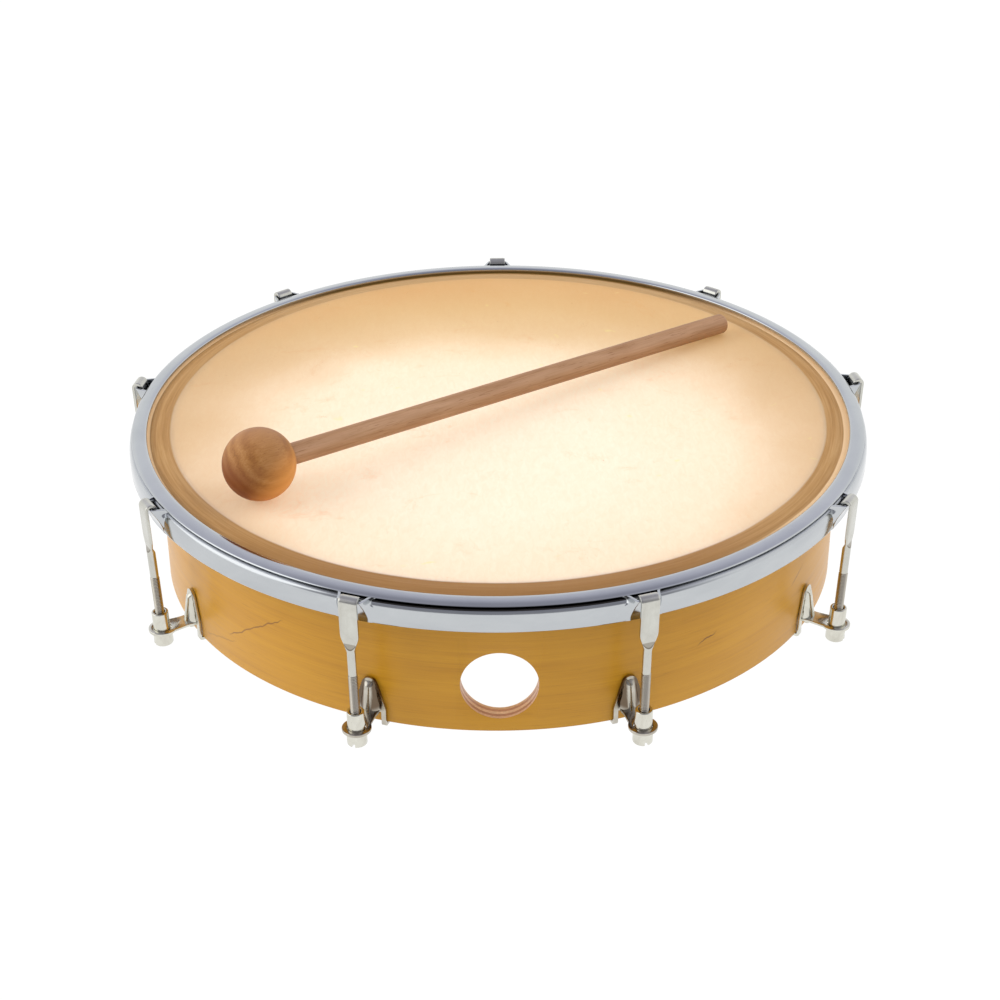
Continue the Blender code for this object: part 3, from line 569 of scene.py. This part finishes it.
def beech_material(name, light, mid, dark, ring_scale, ring_centre, fleck, painted_lighting=()):
    """Beech with growth rings about a line beside the piece, flecks along the grain and painted light and
    shade: broad patches coloured on the sides facing given directions.
    """
    s = Shader(name)
    x, y, z = s.point()
    warp = s.noise(s.scaled((x, y, z), (60.0, 60.0, 14.0)), 3.0, 0.5, 0.4)
    across = s.math("SUBTRACT", x, ring_centre[0])
    beside = s.math("SUBTRACT", y, ring_centre[1])
    squares = s.math("ADD", s.math("MULTIPLY", across, across), s.math("MULTIPLY", beside, beside))
    phase = s.math("MULTIPLY", s.math("SQRT", squares), ring_scale)
    wave = s.math("SINE", s.math("ADD", phase, s.math("MULTIPLY", warp, 9.0)))
    grain = s.noise(s.scaled((x, y, z), (1500.0, 1500.0, 60.0)), 4.0, 0.6)
    tone = s.math("ADD", s.math("MULTIPLY", wave, 0.11), s.math("ADD", s.math("MULTIPLY", grain, 0.6), 0.2))
    colour = s.ramp(tone, [(0.25, dark), (0.48, mid), (0.72, light)])
    flecks = s.noise(s.scaled((x, y, z), (2600.0, 2600.0, fleck)), 2.0, 0.5)
    fleck_mask = s.add("MapRange", {0: flecks, 1: 0.62, 2: 0.70, 3: 0.0, 4: 0.6})
    colour = s.mix(fleck_mask, colour, srgb(118, 72, 42))
    wear = s.noise(s.scaled((x, y, z), (55.0, 55.0, 30.0)), 3.0, 0.55)
    colour = s.mix(s.spread(wear, 0.0, 0.22), colour, srgb(150, 98, 60))
    # painted light and shade: the side facing each direction takes the given colour
    for direction, low, high, amount, shade in painted_lighting:
        ragged = s.math("MULTIPLY", s.math("SUBTRACT", wear, 0.5), 0.006)
        where = s.math("ADD", s.dot((x, y, z), direction), ragged)
        colour = s.mix(s.step(where, low * MM, high * MM, 0.0, amount), colour, shade)
    bump = s.bump(s.math("SUBTRACT", grain, s.math("MULTIPLY", fleck_mask, 0.6)), 0.12, 0.0003)
    return s.end(s.surface({
        "Base Color": colour, "Roughness": s.spread(grain, 0.46, 0.62), "Normal": bump,
        "Specular IOR Level": 0.25,
    }))


def floor_material():
    s = Shader("light_table")
    xyz = s.point()
    mottle = s.noise(s.scaled(xyz, (3.0, 3.0, 3.0)), 3.0, 0.5)
    white = s.mix(s.spread(mottle, 0.0, 1.0), (0.03, 0.03, 0.03, 1.0), (0.05, 0.05, 0.05, 1.0))
    diffuse = s.add("BsdfDiffuse", {"Color": white, "Roughness": 0.4})
    glow = s.add("Emission", {"Color": (1.0, 1.0, 1.0, 1.0), "Strength": 1.0})
    return s.end(s.add("AddShader", {0: diffuse, 1: glow}))


# ---------------------------------------------------------------- the drum's body


def shell_mesh():
    profile = filleted([
        (SHELL_OUTER, 0.0, 0.35), (SHELL_OUTER, SHELL_HEIGHT, BEARING_ROUND),
        (SHELL_INNER, SHELL_HEIGHT, BEARING_ROUND), (SHELL_INNER, 0.0, 0.35),
    ])
    ring = turned(profile, "shell")
    reach = SHELL_WALL * 1.5
    outline = [(0.0, -reach), (THUMB_RADIUS, -reach), (THUMB_RADIUS, reach), (0.0, reach)]
    hole = turned(outline, "hole", 72, False)
    hole.transform(
        Matrix.Translation(Vector((0.0, -(SHELL_OUTER - SHELL_WALL / 2), THUMB_HEIGHT)) * MM)
        @ Matrix.Rotation(pi / 2, 4, "X")
    )
    bevel = ("BEVEL", {"width": 0.3 * MM, "segments": 2, "limit_method": "ANGLE", "angle_limit": radians(50)})
    return applied(cut(ring, hole), bevel)


def skin_mesh():
    wrap = FLESH_WIRE + GAP + SKIN_HALF
    line = [(0.0, SKIN_MIDDLE)]
    line += [(r, SKIN_MIDDLE) for r in (40.0, 80.0, 115.0, 138.0, 143.0, 144.5)]
    line += [(145.3, SKIN_MIDDLE - 0.04), (146.0, SKIN_MIDDLE - 0.16), (146.8, SKIN_MIDDLE - 0.38)]
    line += [(147.8, SKIN_MIDDLE - 0.70), (149.0, SKIN_MIDDLE - 1.06), (150.2, SKIN_MIDDLE - 1.34)]
    line += [(151.2, SKIN_MIDDLE - 1.52)]
    line += arc((FLESH_RADIUS, FLESH_HEIGHT), wrap, 90.0, -30.0, 14)
    upper, lower = [], []
    for i, (radius, height) in enumerate(line):
        before, after = line[max(i - 1, 0)], line[min(i + 1, len(line) - 1)]
        slope = atan2(after[1] - before[1], after[0] - before[0])
        shift = (-sin(slope) * SKIN_HALF, cos(slope) * SKIN_HALF) if radius > 0.0 else (0.0, SKIN_HALF)
        upper.append((radius + shift[0], height + shift[1]))
        lower.append((max(radius - shift[0], 0.0), height - shift[1]))
    return turned(upper + lower[::-1], "skin_head")


def hoop_outline():
    """The rolled section's outline from the flange's inner edge round the outside."""
    band = HOOP_BAND
    return [
        (HOOP_INNER, 64.3), (HOOP_INNER + 0.03, 64.8), (HOOP_INNER + 0.15, 65.08), (HOOP_INNER + 0.4, 65.28),
        (HOOP_INNER + 0.8, 65.42), (152.4, 65.5), (153.2, 65.48), (154.1, 65.4), (154.9, 65.29),
        (155.6, 65.14), (156.1, 65.0), (156.6, 64.82), (157.0, 64.62), (157.3, 64.4), (157.42, 64.2),
        (157.2, 63.98), (156.6, 63.86), (155.9, 63.8),
        (155.9, 63.15), (156.9, 63.08), (157.4, 62.9), (157.8, 62.56),
        (158.15, 62.0), (158.42, 61.2), (158.62, 60.3), (158.74, 59.4), (band, 58.2), (band, 56.0),
        (band, HOOP_BAND_LOW + 0.9), (band - 0.12, HOOP_BAND_LOW + 0.45), (band - 0.38, HOOP_BAND_LOW + 0.14),
        (band - 0.8, HOOP_BAND_LOW), (band - 1.1, HOOP_BAND_LOW + 0.25),
        (band - 1.1, 61.6), (156.2, 62.3), (155.0, 63.3), (153.6, 63.5),
        (HOOP_INNER + 0.5, 63.55), (HOOP_INNER + 0.1, 63.75),
    ]


def band_radius(height):
    """The hoop's outside at a height, where a pocket starts from."""
    if height <= HOOP_SHOULDER:
        return HOOP_BAND
    return lerp(HOOP_BAND, HOOP_NECK, smoothstep((height - HOOP_SHOULDER) / HOOP_SHOULDER_RISE) ** 1.6)


def pocket_mesh():
    """A pressed pocket in its post's frame: widest at the hoop's top, running out at its lower edge."""
    rows = []
    heights = [HOOP_BAND_LOW + 0.3 + (POCKET_TOP - HOOP_BAND_LOW - 0.3) * i / 18 for i in range(19)]
    for height in heights:
        t = (height - heights[0]) / (heights[-1] - heights[0])
        front = lerp(HOOP_BAND, POCKET_OUTER, smoothstep(t * 0.62) / smoothstep(0.62))
        crease = lerp(6.2, 4.4, t)
        root = lerp(6.9, 7.4, t)
        start = band_radius(height)
        row = []
        for step in range(-22, 23):
            side = 1 if step >= 0 else -1
            share = abs(step) / 22
            if share < 0.5:
                y, lift = crease * share / 0.5 * 0.96, 1.0
            else:
                u = (share - 0.5) / 0.5
                y = lerp(crease * 0.96, root + 0.6, u)
                lift = 1.0 - smoothstep(min(1.0, u * 1.02)) ** 0.85
            x = lerp(start - 0.12, front, lift)
            row.append((x * cos(y / x), side * x * sin(y / x), height))
        rows.append(row)
    sheet = facing(woven(rows, "pocket", closed=False), (1.0, 0.0, 0.0))
    thick = ("SOLIDIFY", {"thickness": 1.0 * MM, "offset": -1.0, "use_even_offset": True})
    edge = ("BEVEL", {"width": 0.22 * MM, "segments": 2, "limit_method": "ANGLE", "angle_limit": radians(55)})
    return applied(sheet, thick, edge)


def hoop_mesh(chrome, groove):
    ring = turned(hoop_outline(), "counter_hoop", HOOP_STEPS)
    inner, outer, low, high = GROOVE
    ring.materials.append(chrome)
    ring.materials.append(groove)
    for face in ring.polygons:
        radius, height = hypot(face.center.x, face.center.y) / MM, face.center.z / MM
        face.material_index = 1 if inner < radius < outer and low < height < high else 0
    pocket = pocket_mesh()
    parts = [(ring, Matrix.Identity(4))] + [(pocket, post_turn(joint)) for joint in NUTS]
    hoop = joined("counter_hoop", parts)
    hoop.materials.append(chrome)
    hoop.materials.append(groove)
    return hoop


# ---------------------------------------------------------------- tensioners


def post_turn(joint):
    x, y = joint["pos_m"][0] - AXIS.x, joint["pos_m"][1] - AXIS.y
    return Matrix.Rotation(atan2(y, x), 4, "Z")


def post_place(joint):
    return ON_AXIS @ post_turn(joint)


def rod_place(joint):
    """The rod's own frame: Z up the rod, X outwards."""
    return post_place(joint) @ Matrix.Translation((ROD_RADIUS, 0.0, 0.0)) @ Matrix.Rotation(ROD_LEAN, 4, "Y")


def plate_half(height):
    if height <= PLATE_CORNER:
        return PLATE_HALF
    centre = PLATE_TOP - PLATE_ROUND
    meeting = radians(25.0)  # where the straight flank runs into the round top
    join = centre + PLATE_ROUND * sin(meeting)
    if height <= join:
        return lerp(PLATE_HALF, PLATE_ROUND * cos(meeting), (height - PLATE_CORNER) / (join - PLATE_CORNER))
    return sqrt(max(PLATE_ROUND**2 - (height - centre) ** 2, 0.0))


def ridge_lift(across, height):
    """How far the pressed ridge stands out of the plate."""
    t = (height - WINDOW_TOP) / (RIDGE_TOP - WINDOW_TOP)
    radius = lerp(RIDGE_LOW_HALF, RIDGE_TOP_HALF, t)
    closing = smoothstep((19.5 - height) / 2.6)
    share = 1.0 - (across / radius) ** 2
    if share <= 0.0:
        return 0.0
    return (RIDGE_BULGE * radius - SHEET) * share**0.8 * closing


def bracket_mesh():
    legs = [1.0, 0.93, 0.86, 0.79, WINDOW_HALF / PLATE_HALF]
    middle = [WINDOW_HALF / PLATE_HALF * i / 14 for i in range(13, -14, -1)]
    columns = legs + middle + [-c for c in reversed(legs)]
    bend = 1.5
    front = FACE + SHEET
    path = [(FACE - FOOT_DEPTH, FOOT_UNDER), (FACE - 2.0, FOOT_UNDER), (front - bend - 0.4, FOOT_UNDER)]
    path += arc((front - bend, FOOT_UNDER + bend), bend, -90.0, 0.0, 5)
    heights = [1.6, 3.0, 4.2, WINDOW_TOP] + [WINDOW_TOP + 0.75 * i for i in range(1, 18)]
    centre = PLATE_TOP - PLATE_ROUND
    heights += [centre + PLATE_ROUND * sin(radians(a)) for a in (30, 40, 50, 60, 70, 80, 87, 90)]
    path += [(front, height) for height in heights if height < 18.3 or height > 18.6]
    first_full = next(i for i, (_, height) in enumerate(path) if height >= WINDOW_TOP)
    points, faces = [], []
    for x, height in path:
        for c in columns:
            y = c * plate_half(height)
            lift = ridge_lift(y, height) if height >= WINDOW_TOP else 0.0
            points.append((x + lift, y, height))
    count = len(columns)
    for i in range(len(path) - 1):
        for j in range(count - 1):
            in_window = len(legs) - 1 <= j < count - len(legs)
            if in_window and i < first_full:
                continue
            low = i * count + j
            faces.append((low, low + 1, low + count + 1, low + count))
    sheet = facing(blended(points, faces, "bracket"), (1.0, 0.0, 0.0))
    thick = ("SOLIDIFY", {"thickness": SHEET * MM, "offset": -1.0, "use_even_offset": False})
    edge = ("BEVEL", {"width": 0.22 * MM, "segments": 2, "limit_method": "ANGLE", "angle_limit": radians(48)})
    plate = applied(sheet, thick, edge)
    return joined("bracket", [(plate, Matrix.Identity(4)), (lug_mesh(), Matrix.Identity(4))])


def lug_mesh():
    """The tongue and its ring, with rounded edges."""
    ring_at = ROD_RADIUS / MM
    soft = 0.28
    curve = bpy.data.curves.new("lug", "CURVE")
    curve.dimensions = "2D"
    curve.fill_mode = "BOTH"
    curve.extrude = (LUG_THICK / 2 - soft) * MM
    curve.bevel_depth = soft * MM
    curve.bevel_resolution = 2
    outer = arc((ring_at, 0.0), LUG_RING - soft, -132.0, 132.0, 44)
    half = LUG_HALF - soft
    tongue = [(FACE + 4.6, half - 0.25), (FACE + 2.6, half), (FACE + 0.4, half)]
    tongue += [(x, -y) for x, y in reversed(tongue)]
    hole = arc((ring_at, 0.0), NUT_SLEEVE + GAP + soft, 0.0, 360.0, 48)[:-1]
    for outline in (outer + tongue, hole):
        spline = curve.splines.new("POLY")
        spline.points.add(len(outline) - 1)
        for point, (x, y) in zip(spline.points, outline):
            point.co = (x * MM, y * MM, 0.0, 1.0)
        spline.use_cyclic_u = True
    obj = bpy.data.objects.new("lug", curve)
    bpy.context.scene.collection.objects.link(obj)
    mesh = bpy.data.meshes.new_from_object(obj.evaluated_get(bpy.context.evaluated_depsgraph_get()))
    bpy.data.objects.remove(obj)
    bpy.data.curves.remove(curve)
    form = bmesh.new()
    form.from_mesh(mesh)
    bmesh.ops.remove_doubles(form, verts=form.verts, dist=1e-6)
    bmesh.ops.recalc_face_normals(form, faces=form.faces)
    bmesh.ops.translate(form, vec=(0.0, 0.0, (LUG_LOW + LUG_THICK / 2) * MM), verts=form.verts)
    form.to_mesh(mesh)
    form.free()
    return mesh


def nut_mesh():
    profile = filleted([
        (NUT_BORE, NUT_TOP, 0.35), (NUT_SLEEVE, NUT_TOP, 0.5), (NUT_SLEEVE, LUG_LOW - GAP, 0.0),
        (NUT_HEAD, LUG_LOW - GAP, 0.25), (NUT_HEAD, NUT_LOW, 0.7), (NUT_BORE, NUT_LOW, 0.3),
    ])
    nut = turned(profile, "tension_nut", 64)
    slot = bpy.data.meshes.new("slot")
    form = bmesh.new()
    bmesh.ops.create_cube(form, size=1.0)
    bmesh.ops.scale(form, vec=Vector((NUT_HEAD * 3, SLOT_WIDTH, SLOT_DEPTH * 2)) * MM, verts=form.verts)
    bmesh.ops.translate(form, vec=(0.0, 0.0, NUT_LOW * MM), verts=form.verts)
    form.to_mesh(slot)
    form.free()
    edge = ("BEVEL", {"width": 0.12 * MM, "segments": 2, "limit_method": "ANGLE", "angle_limit": radians(60)})
    return applied(cut(nut, slot), edge)


def hook_section(centre, tilt, half_width, half_thick, power, sides=28):
    """A rounded section across the strip: a circle at power 2, flatter as it grows."""
    made = []
    for i in range(sides):
        a = 2 * pi * i / sides
        c, s = cos(a), sin(a)
        x = half_thick * (1 if c >= 0 else -1) * abs(c) ** (2 / power)
        y = half_width * (1 if s >= 0 else -1) * abs(s) ** (2 / power)
        made.append((centre[0] + x * cos(tilt), y, centre[1] + x * sin(tilt)))
    return made


def thread_mesh():
    """A real screw thread: a V wound up the rod at its pitch."""
    sides = 20
    turns = (THREAD_HIGH - ROD_LOW - 1.0) / THREAD_PITCH
    count = int(turns * sides)
    points, faces = [], []
    for k in range(count + sides + 1):
        a = 2 * pi * k / sides
        z = ROD_LOW + 0.4 + THREAD_PITCH * k / sides
        points.append((THREAD_ROOT * cos(a), THREAD_ROOT * sin(a), z))
        for radius, rise in ((THREAD_CREST, 0.42), (THREAD_CREST, 0.58)):
            points.append((radius * cos(a), radius * sin(a), z + THREAD_PITCH * rise))
    for k in range(count):
        a, b = 3 * k, 3 * (k + 1)
        above_a, above_b = 3 * (k + sides), 3 * (k + 1 + sides)
        faces += [(a, b, b + 1, a + 1), (a + 1, b + 1, b + 2, a + 2), (a + 2, b + 2, above_b, above_a)]
    thread = outward(blended(points, faces, "thread"))
    core = turned([
        (0.0, ROD_LOW), (THREAD_ROOT - 0.3, ROD_LOW), (THREAD_ROOT + 0.02, ROD_LOW + 0.4),
        (THREAD_ROOT + 0.02, THREAD_HIGH + 0.2), (0.0, THREAD_HIGH + 0.2),
    ], "core", 32, False)
    return joined("thread", [(thread, Matrix.Identity(4)), (core, Matrix.Identity(4))])


def hook_mesh():
    rows = [hook_section((0.0, THREAD_HIGH - 0.1), 0.0, 1.5, 1.5, 2.0)]
    for z in (THREAD_HIGH + 0.2, 34.0, 38.0, NECK_HIGH - 0.6):
        rows.append(hook_section((0.0, z), 0.0, NECK_RADIUS, NECK_RADIUS, 2.0))
    for i in range(17):
        t = i / 16
        wide = lerp(NECK_RADIUS, STRIP_HALF, smoothstep(t))
        thick = lerp(NECK_RADIUS, STRIP_THICK, smoothstep(t / 0.5))
        shift = STRIP_SHIFT * smoothstep(t / 0.6)
        power = lerp(2.0, 7.0, smoothstep(t / 0.5))
        rows.append(hook_section((shift, lerp(NECK_HIGH, SHOULDER_HIGH, t)), 0.0, wide, thick, power))
    for z in (53.0, 57.0, 60.0, 62.0):
        rows.append(hook_section((STRIP_SHIFT, z), 0.0, STRIP_HALF, STRIP_THICK, 8.0))
    for i in range(21):
        a = pi * i / 20
        centre = (STRIP_SHIFT - ROLL_RADIUS + ROLL_RADIUS * cos(a), ROLL_HEIGHT + ROLL_RADIUS * sin(a))
        rows.append(hook_section(centre, a, STRIP_HALF, STRIP_THICK, 8.0))
    rows.append(hook_section((STRIP_SHIFT - 2 * ROLL_RADIUS, LEG_LOW), pi, STRIP_HALF, STRIP_THICK, 8.0))
    strip = outward(woven(rows, "strip", caps=True))
    return joined("tension_hook", [(strip, Matrix.Identity(4)), (thread_mesh(), Matrix.Identity(4))])


def rivet_mesh():
    head, tail = SHELL_INNER - GAP, FACE + SHEET + 0.1
    angles = [radians(a) for a in range(0, 91, 15)]
    dome = [(RIVET_HEAD * cos(a), head - RIVET_HEAD_THICK * sin(a)) for a in angles]
    end = tail + RIVET_TAIL_THICK
    profile = [(0.0, end), (1.1, end), (RIVET_TAIL, tail), (RIVET_SHANK, tail), (RIVET_SHANK, head)] + dome
    mesh = turned(profile, "bracket_rivet", 40, False)
    mesh.transform(
        Matrix.Translation((0.0, 0.0, RIVET_HEIGHT * MM)) @ Matrix.Rotation(pi / 2, 4, "Y")
    )
    return mesh


def build_tensioners(materials):
    """The nine posts. The two brackets beside the thumb hole, at the front, are browner, with painted darker
    reflections.
    """
    meshes = {
        "bracket": bracket_mesh(), "tension_nut": nut_mesh(),
        "tension_hook": hook_mesh(), "bracket_rivet": rivet_mesh(),
    }
    front_bracket_mesh = bracket_mesh()
    for joint in NUTS:
        number = joint["child"].split("_")[1]
        at_post, on_rod = post_place(joint), rod_place(joint)
        painted_front = joint["pos_m"][1] < AXIS.y - PAINTED_FRONT_REACH
        rows = [
            ("bracket", "drum", materials["bracket" if painted_front else "nickel"], "nickel", at_post),
            ("bracket_rivet", "drum", materials["rivet"], "rivet_metal", at_post),
            ("tension_nut", f"nut_{number}", materials["nickel"], "nickel", on_rod),
            ("tension_hook", f"hook_{number}", materials["hook"], "nickel", on_rod),
        ]
        for name, body, material, slot, place in rows:
            mesh = front_bracket_mesh if painted_front and name == "bracket" else meshes[name]
            piece(f"{name}_look_{number}", mesh, body, f"{name}_{number}", material, place)


# ---------------------------------------------------------------- mallet


def mallet_place():
    """The mallet's frame, Z from the head's centre to the handle's tip, and the tip's distance."""
    head_low, head_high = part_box("mallet_head")
    low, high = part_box("mallet_handle")
    head, middle = (head_low + head_high) / 2, (low + high) / 2
    along = (middle - head).normalized()
    across = sqrt(1.0 - along.x**2)
    length = (high.x - low.x - 2 * MALLET_HANDLE * MM * across) / along.x
    tip = (middle - head).length + length / 2
    turn = along.to_track_quat("Z", "Y").to_matrix().to_4x4()
    return Matrix.Translation(head) @ turn, (head_high.x - head_low.x) / 2 / MM, tip / MM


def build_mallet(materials):
    place, ball, tip = mallet_place()
    mouth = MALLET_BORE + 0.35
    opening = sqrt(ball**2 - mouth**2)
    outline = [(ball * sin(radians(a)), -ball * cos(radians(a))) for a in range(0, 159, 3)]
    outline += [(mouth, opening), (MALLET_BORE + 0.08, opening + 0.02), (MALLET_BORE, opening - 0.25)]
    outline += [(MALLET_BORE, -MALLET_SEAT), (0.0, -MALLET_SEAT)]
    head = turned(outline, "mallet_head", 96, False)
    piece("mallet_head_look", head, "mallet", "mallet_head", materials["beech_head"], place)
    end = arc((MALLET_HANDLE - MALLET_TIP_ROUND, tip - MALLET_TIP_ROUND), MALLET_TIP_ROUND, 90.0, 0.0, 8)
    profile = [(0.0, tip)] + end + [(MALLET_HANDLE, tip * share) for share in (0.8, 0.6, 0.4, 0.2)]
    profile += [(MALLET_HANDLE, GAP - MALLET_SEAT), (0.0, GAP - MALLET_SEAT)]
    stick = turned(profile, "mallet_handle", 64, False)
    piece("mallet_handle_look", stick, "mallet", "mallet_handle", materials["beech"], place)


# ---------------------------------------------------------------- studio


def build_camera():
    data = bpy.data.cameras.new("camera")
    data.lens = CAMERA_LENS
    data.sensor_width = 36.0
    camera = bpy.data.objects.new("camera", data)
    bpy.context.scene.collection.objects.link(camera)
    turn = Matrix.Rotation(CAMERA_TILT, 4, "X") @ Matrix.Rotation(CAMERA_ROLL, 4, "Z")
    camera.matrix_world = Matrix.Translation(CAMERA_AT) @ turn
    bpy.context.scene.camera = camera


def area_light(name, place, target, size, radiance):
    data = bpy.data.lights.new(name, "AREA")
    data.shape = "RECTANGLE"
    data.size, data.size_y = size
    data.energy = radiance * pi * size[0] * size[1]
    light = bpy.data.objects.new(name, data)
    bpy.context.scene.collection.objects.link(light)
    light.location = place
    light.rotation_euler = (Vector(target) - Vector(place)).to_track_quat("-Z", "Y").to_euler()
    light.visible_glossy = False  # the world holds the softboxes that the metal mirrors


def build_world():
    """A white sweep near the horizon, a cool grey ceiling, a dim side at -Y and a softbox at each hand."""
    bpy.context.scene.world = bpy.data.worlds.new("studio")
    s = Shader("studio", bpy.context.scene.world)
    direction = s.add("TexCoord")
    xyz = [s.add("SeparateXYZ", {0: direction}, output=i) for i in range(3)]
    colour = s.ramp(xyz[2], [
        (0.0, (1.0, 1.0, 1.0)), (0.38, (0.98, 0.99, 1.0)), (0.58, (0.82, 0.82, 0.90)),
        (0.76, (0.64, 0.64, 0.74)), (0.92, (0.42, 0.42, 0.50)), (1.0, (0.38, 0.38, 0.45)),
    ])
    dim = s.math("MULTIPLY", s.step(xyz[1], -0.25, -0.75), s.step(xyz[2], 0.0, 0.10))
    colour = s.mix(s.math("MULTIPLY", dim, 0.85), colour, (0.20, 0.20, 0.24, 1.0))
    for place, radiance in SOFTBOXES:
        lit = s.step(s.dot(xyz, Vector(place).normalized()), 0.87, 0.93)
        colour = s.mix(lit, colour, (radiance, radiance, radiance, 1.0))
    s.end(s.add("Background", {0: colour, 1: 1.0}), "OutputWorld")


def build_studio():
    build_world()
    area_light("softbox_left", (-1.25, -0.15, 0.75), (0.0, 0.0, 0.05), (1.3, 1.0), 2.4)
    area_light("softbox_right", (1.25, 0.1, 0.75), (0.0, 0.0, 0.05), (1.3, 1.0), 1.8)
    area_light("softbox_front", (0.2, -1.5, 0.7), (0.0, 0.0, 0.05), (1.3, 0.8), 0.9)
    area_light("overhead", (0.15, 0.35, 1.9), (0.0, 0.0, 0.0), (1.4, 1.0), 0.9)
    form = bmesh.new()
    bmesh.ops.create_grid(form, x_segments=8, y_segments=8, size=4.0)
    mesh = bpy.data.meshes.new("floor")
    form.to_mesh(mesh)
    form.free()
    floor = bpy.data.objects.new("floor", mesh)
    bpy.context.scene.collection.objects.link(floor)
    floor.location.z = -0.02 * MM
    mesh.materials.append(floor_material())
    bpy.context.scene.view_settings.view_transform = "Standard"


def main():
    build_camera()
    ball_turn = mallet_place()[0].to_3x3().transposed()  # from the world's axes to the ball's
    materials = {
        "plywood": plywood_material(),
        "skin": skin_material(),
        "chrome": chrome_material(),
        "groove": groove_material(),
        "nickel": nickel_material("nickel_plate", (0.74, 0.73, 0.65, 1), (0.58, 0.56, 0.49, 1), 0.08, 0.18),
        # painted reflection: a darker, browner copy of the nickel for the front brackets, standing in for the
        # shell and the dark room mirrored in them
        "bracket": nickel_material(
            "nickel_painted_dark_reflection", (0.60, 0.57, 0.50, 1), (0.42, 0.385, 0.325, 1), 0.08, 0.18, flanks=True
        ),
        "hook": nickel_material(
            "nickel_rod", (0.63, 0.63, 0.58, 1), (0.54, 0.53, 0.48, 1), 0.12, 0.22, thread=True
        ),
        "wire": nickel_material("steel_wire", (0.40, 0.40, 0.40, 1), (0.28, 0.26, 0.24, 1), 0.30, 0.50),
        "rivet": nickel_material("rivet_metal", (0.55, 0.53, 0.49, 1), (0.42, 0.40, 0.36, 1), 0.22, 0.38),
        "beech": beech_material(
            "beech_stick", srgb(190, 151, 117), srgb(174, 134, 98), srgb(148, 107, 70),
            900.0, (0.02, 0.012), 150.0,
        ),
        "beech_head": beech_material(
            "beech_ball", srgb(178, 129, 75), srgb(158, 107, 53), srgb(127, 77, 32),
            1500.0, (0.012, -0.018), 420.0,
            [
                # painted shade at the lower left, a painted orange glow from the skin at the lower right, a
                # painted highlight on top
                (ball_turn @ Vector((-0.62, -0.35, -0.70)), 1.0, 13.0, 0.80, srgb(112, 50, 12)),
                (ball_turn @ Vector((0.75, -0.25, -0.60)), 3.0, 14.0, 0.75, srgb(222, 150, 72)),
                (ball_turn @ Vector((-0.1, 0.2, 1.0)), 6.0, 16.0, 0.35, srgb(186, 140, 106)),
            ],
        ),
    }
    piece("shell_look", shell_mesh(), "drum", "shell", materials["plywood"])
    piece("skin_look", skin_mesh(), "drum", "skin_head", materials["skin"])
    hoop = hoop_mesh(materials["chrome"], materials["groove"])
    piece("hoop_look", hoop, "drum", "counter_hoop", materials["chrome"], sharp=50.0)
    wire = turned(arc((FLESH_RADIUS, FLESH_HEIGHT), FLESH_WIRE, 0.0, 345.0, 23), "flesh_hoop")
    piece("flesh_hoop_look", wire, "drum", "flesh_hoop", materials["wire"])
    build_tensioners(materials)
    build_mallet(materials)
    build_studio()


main()
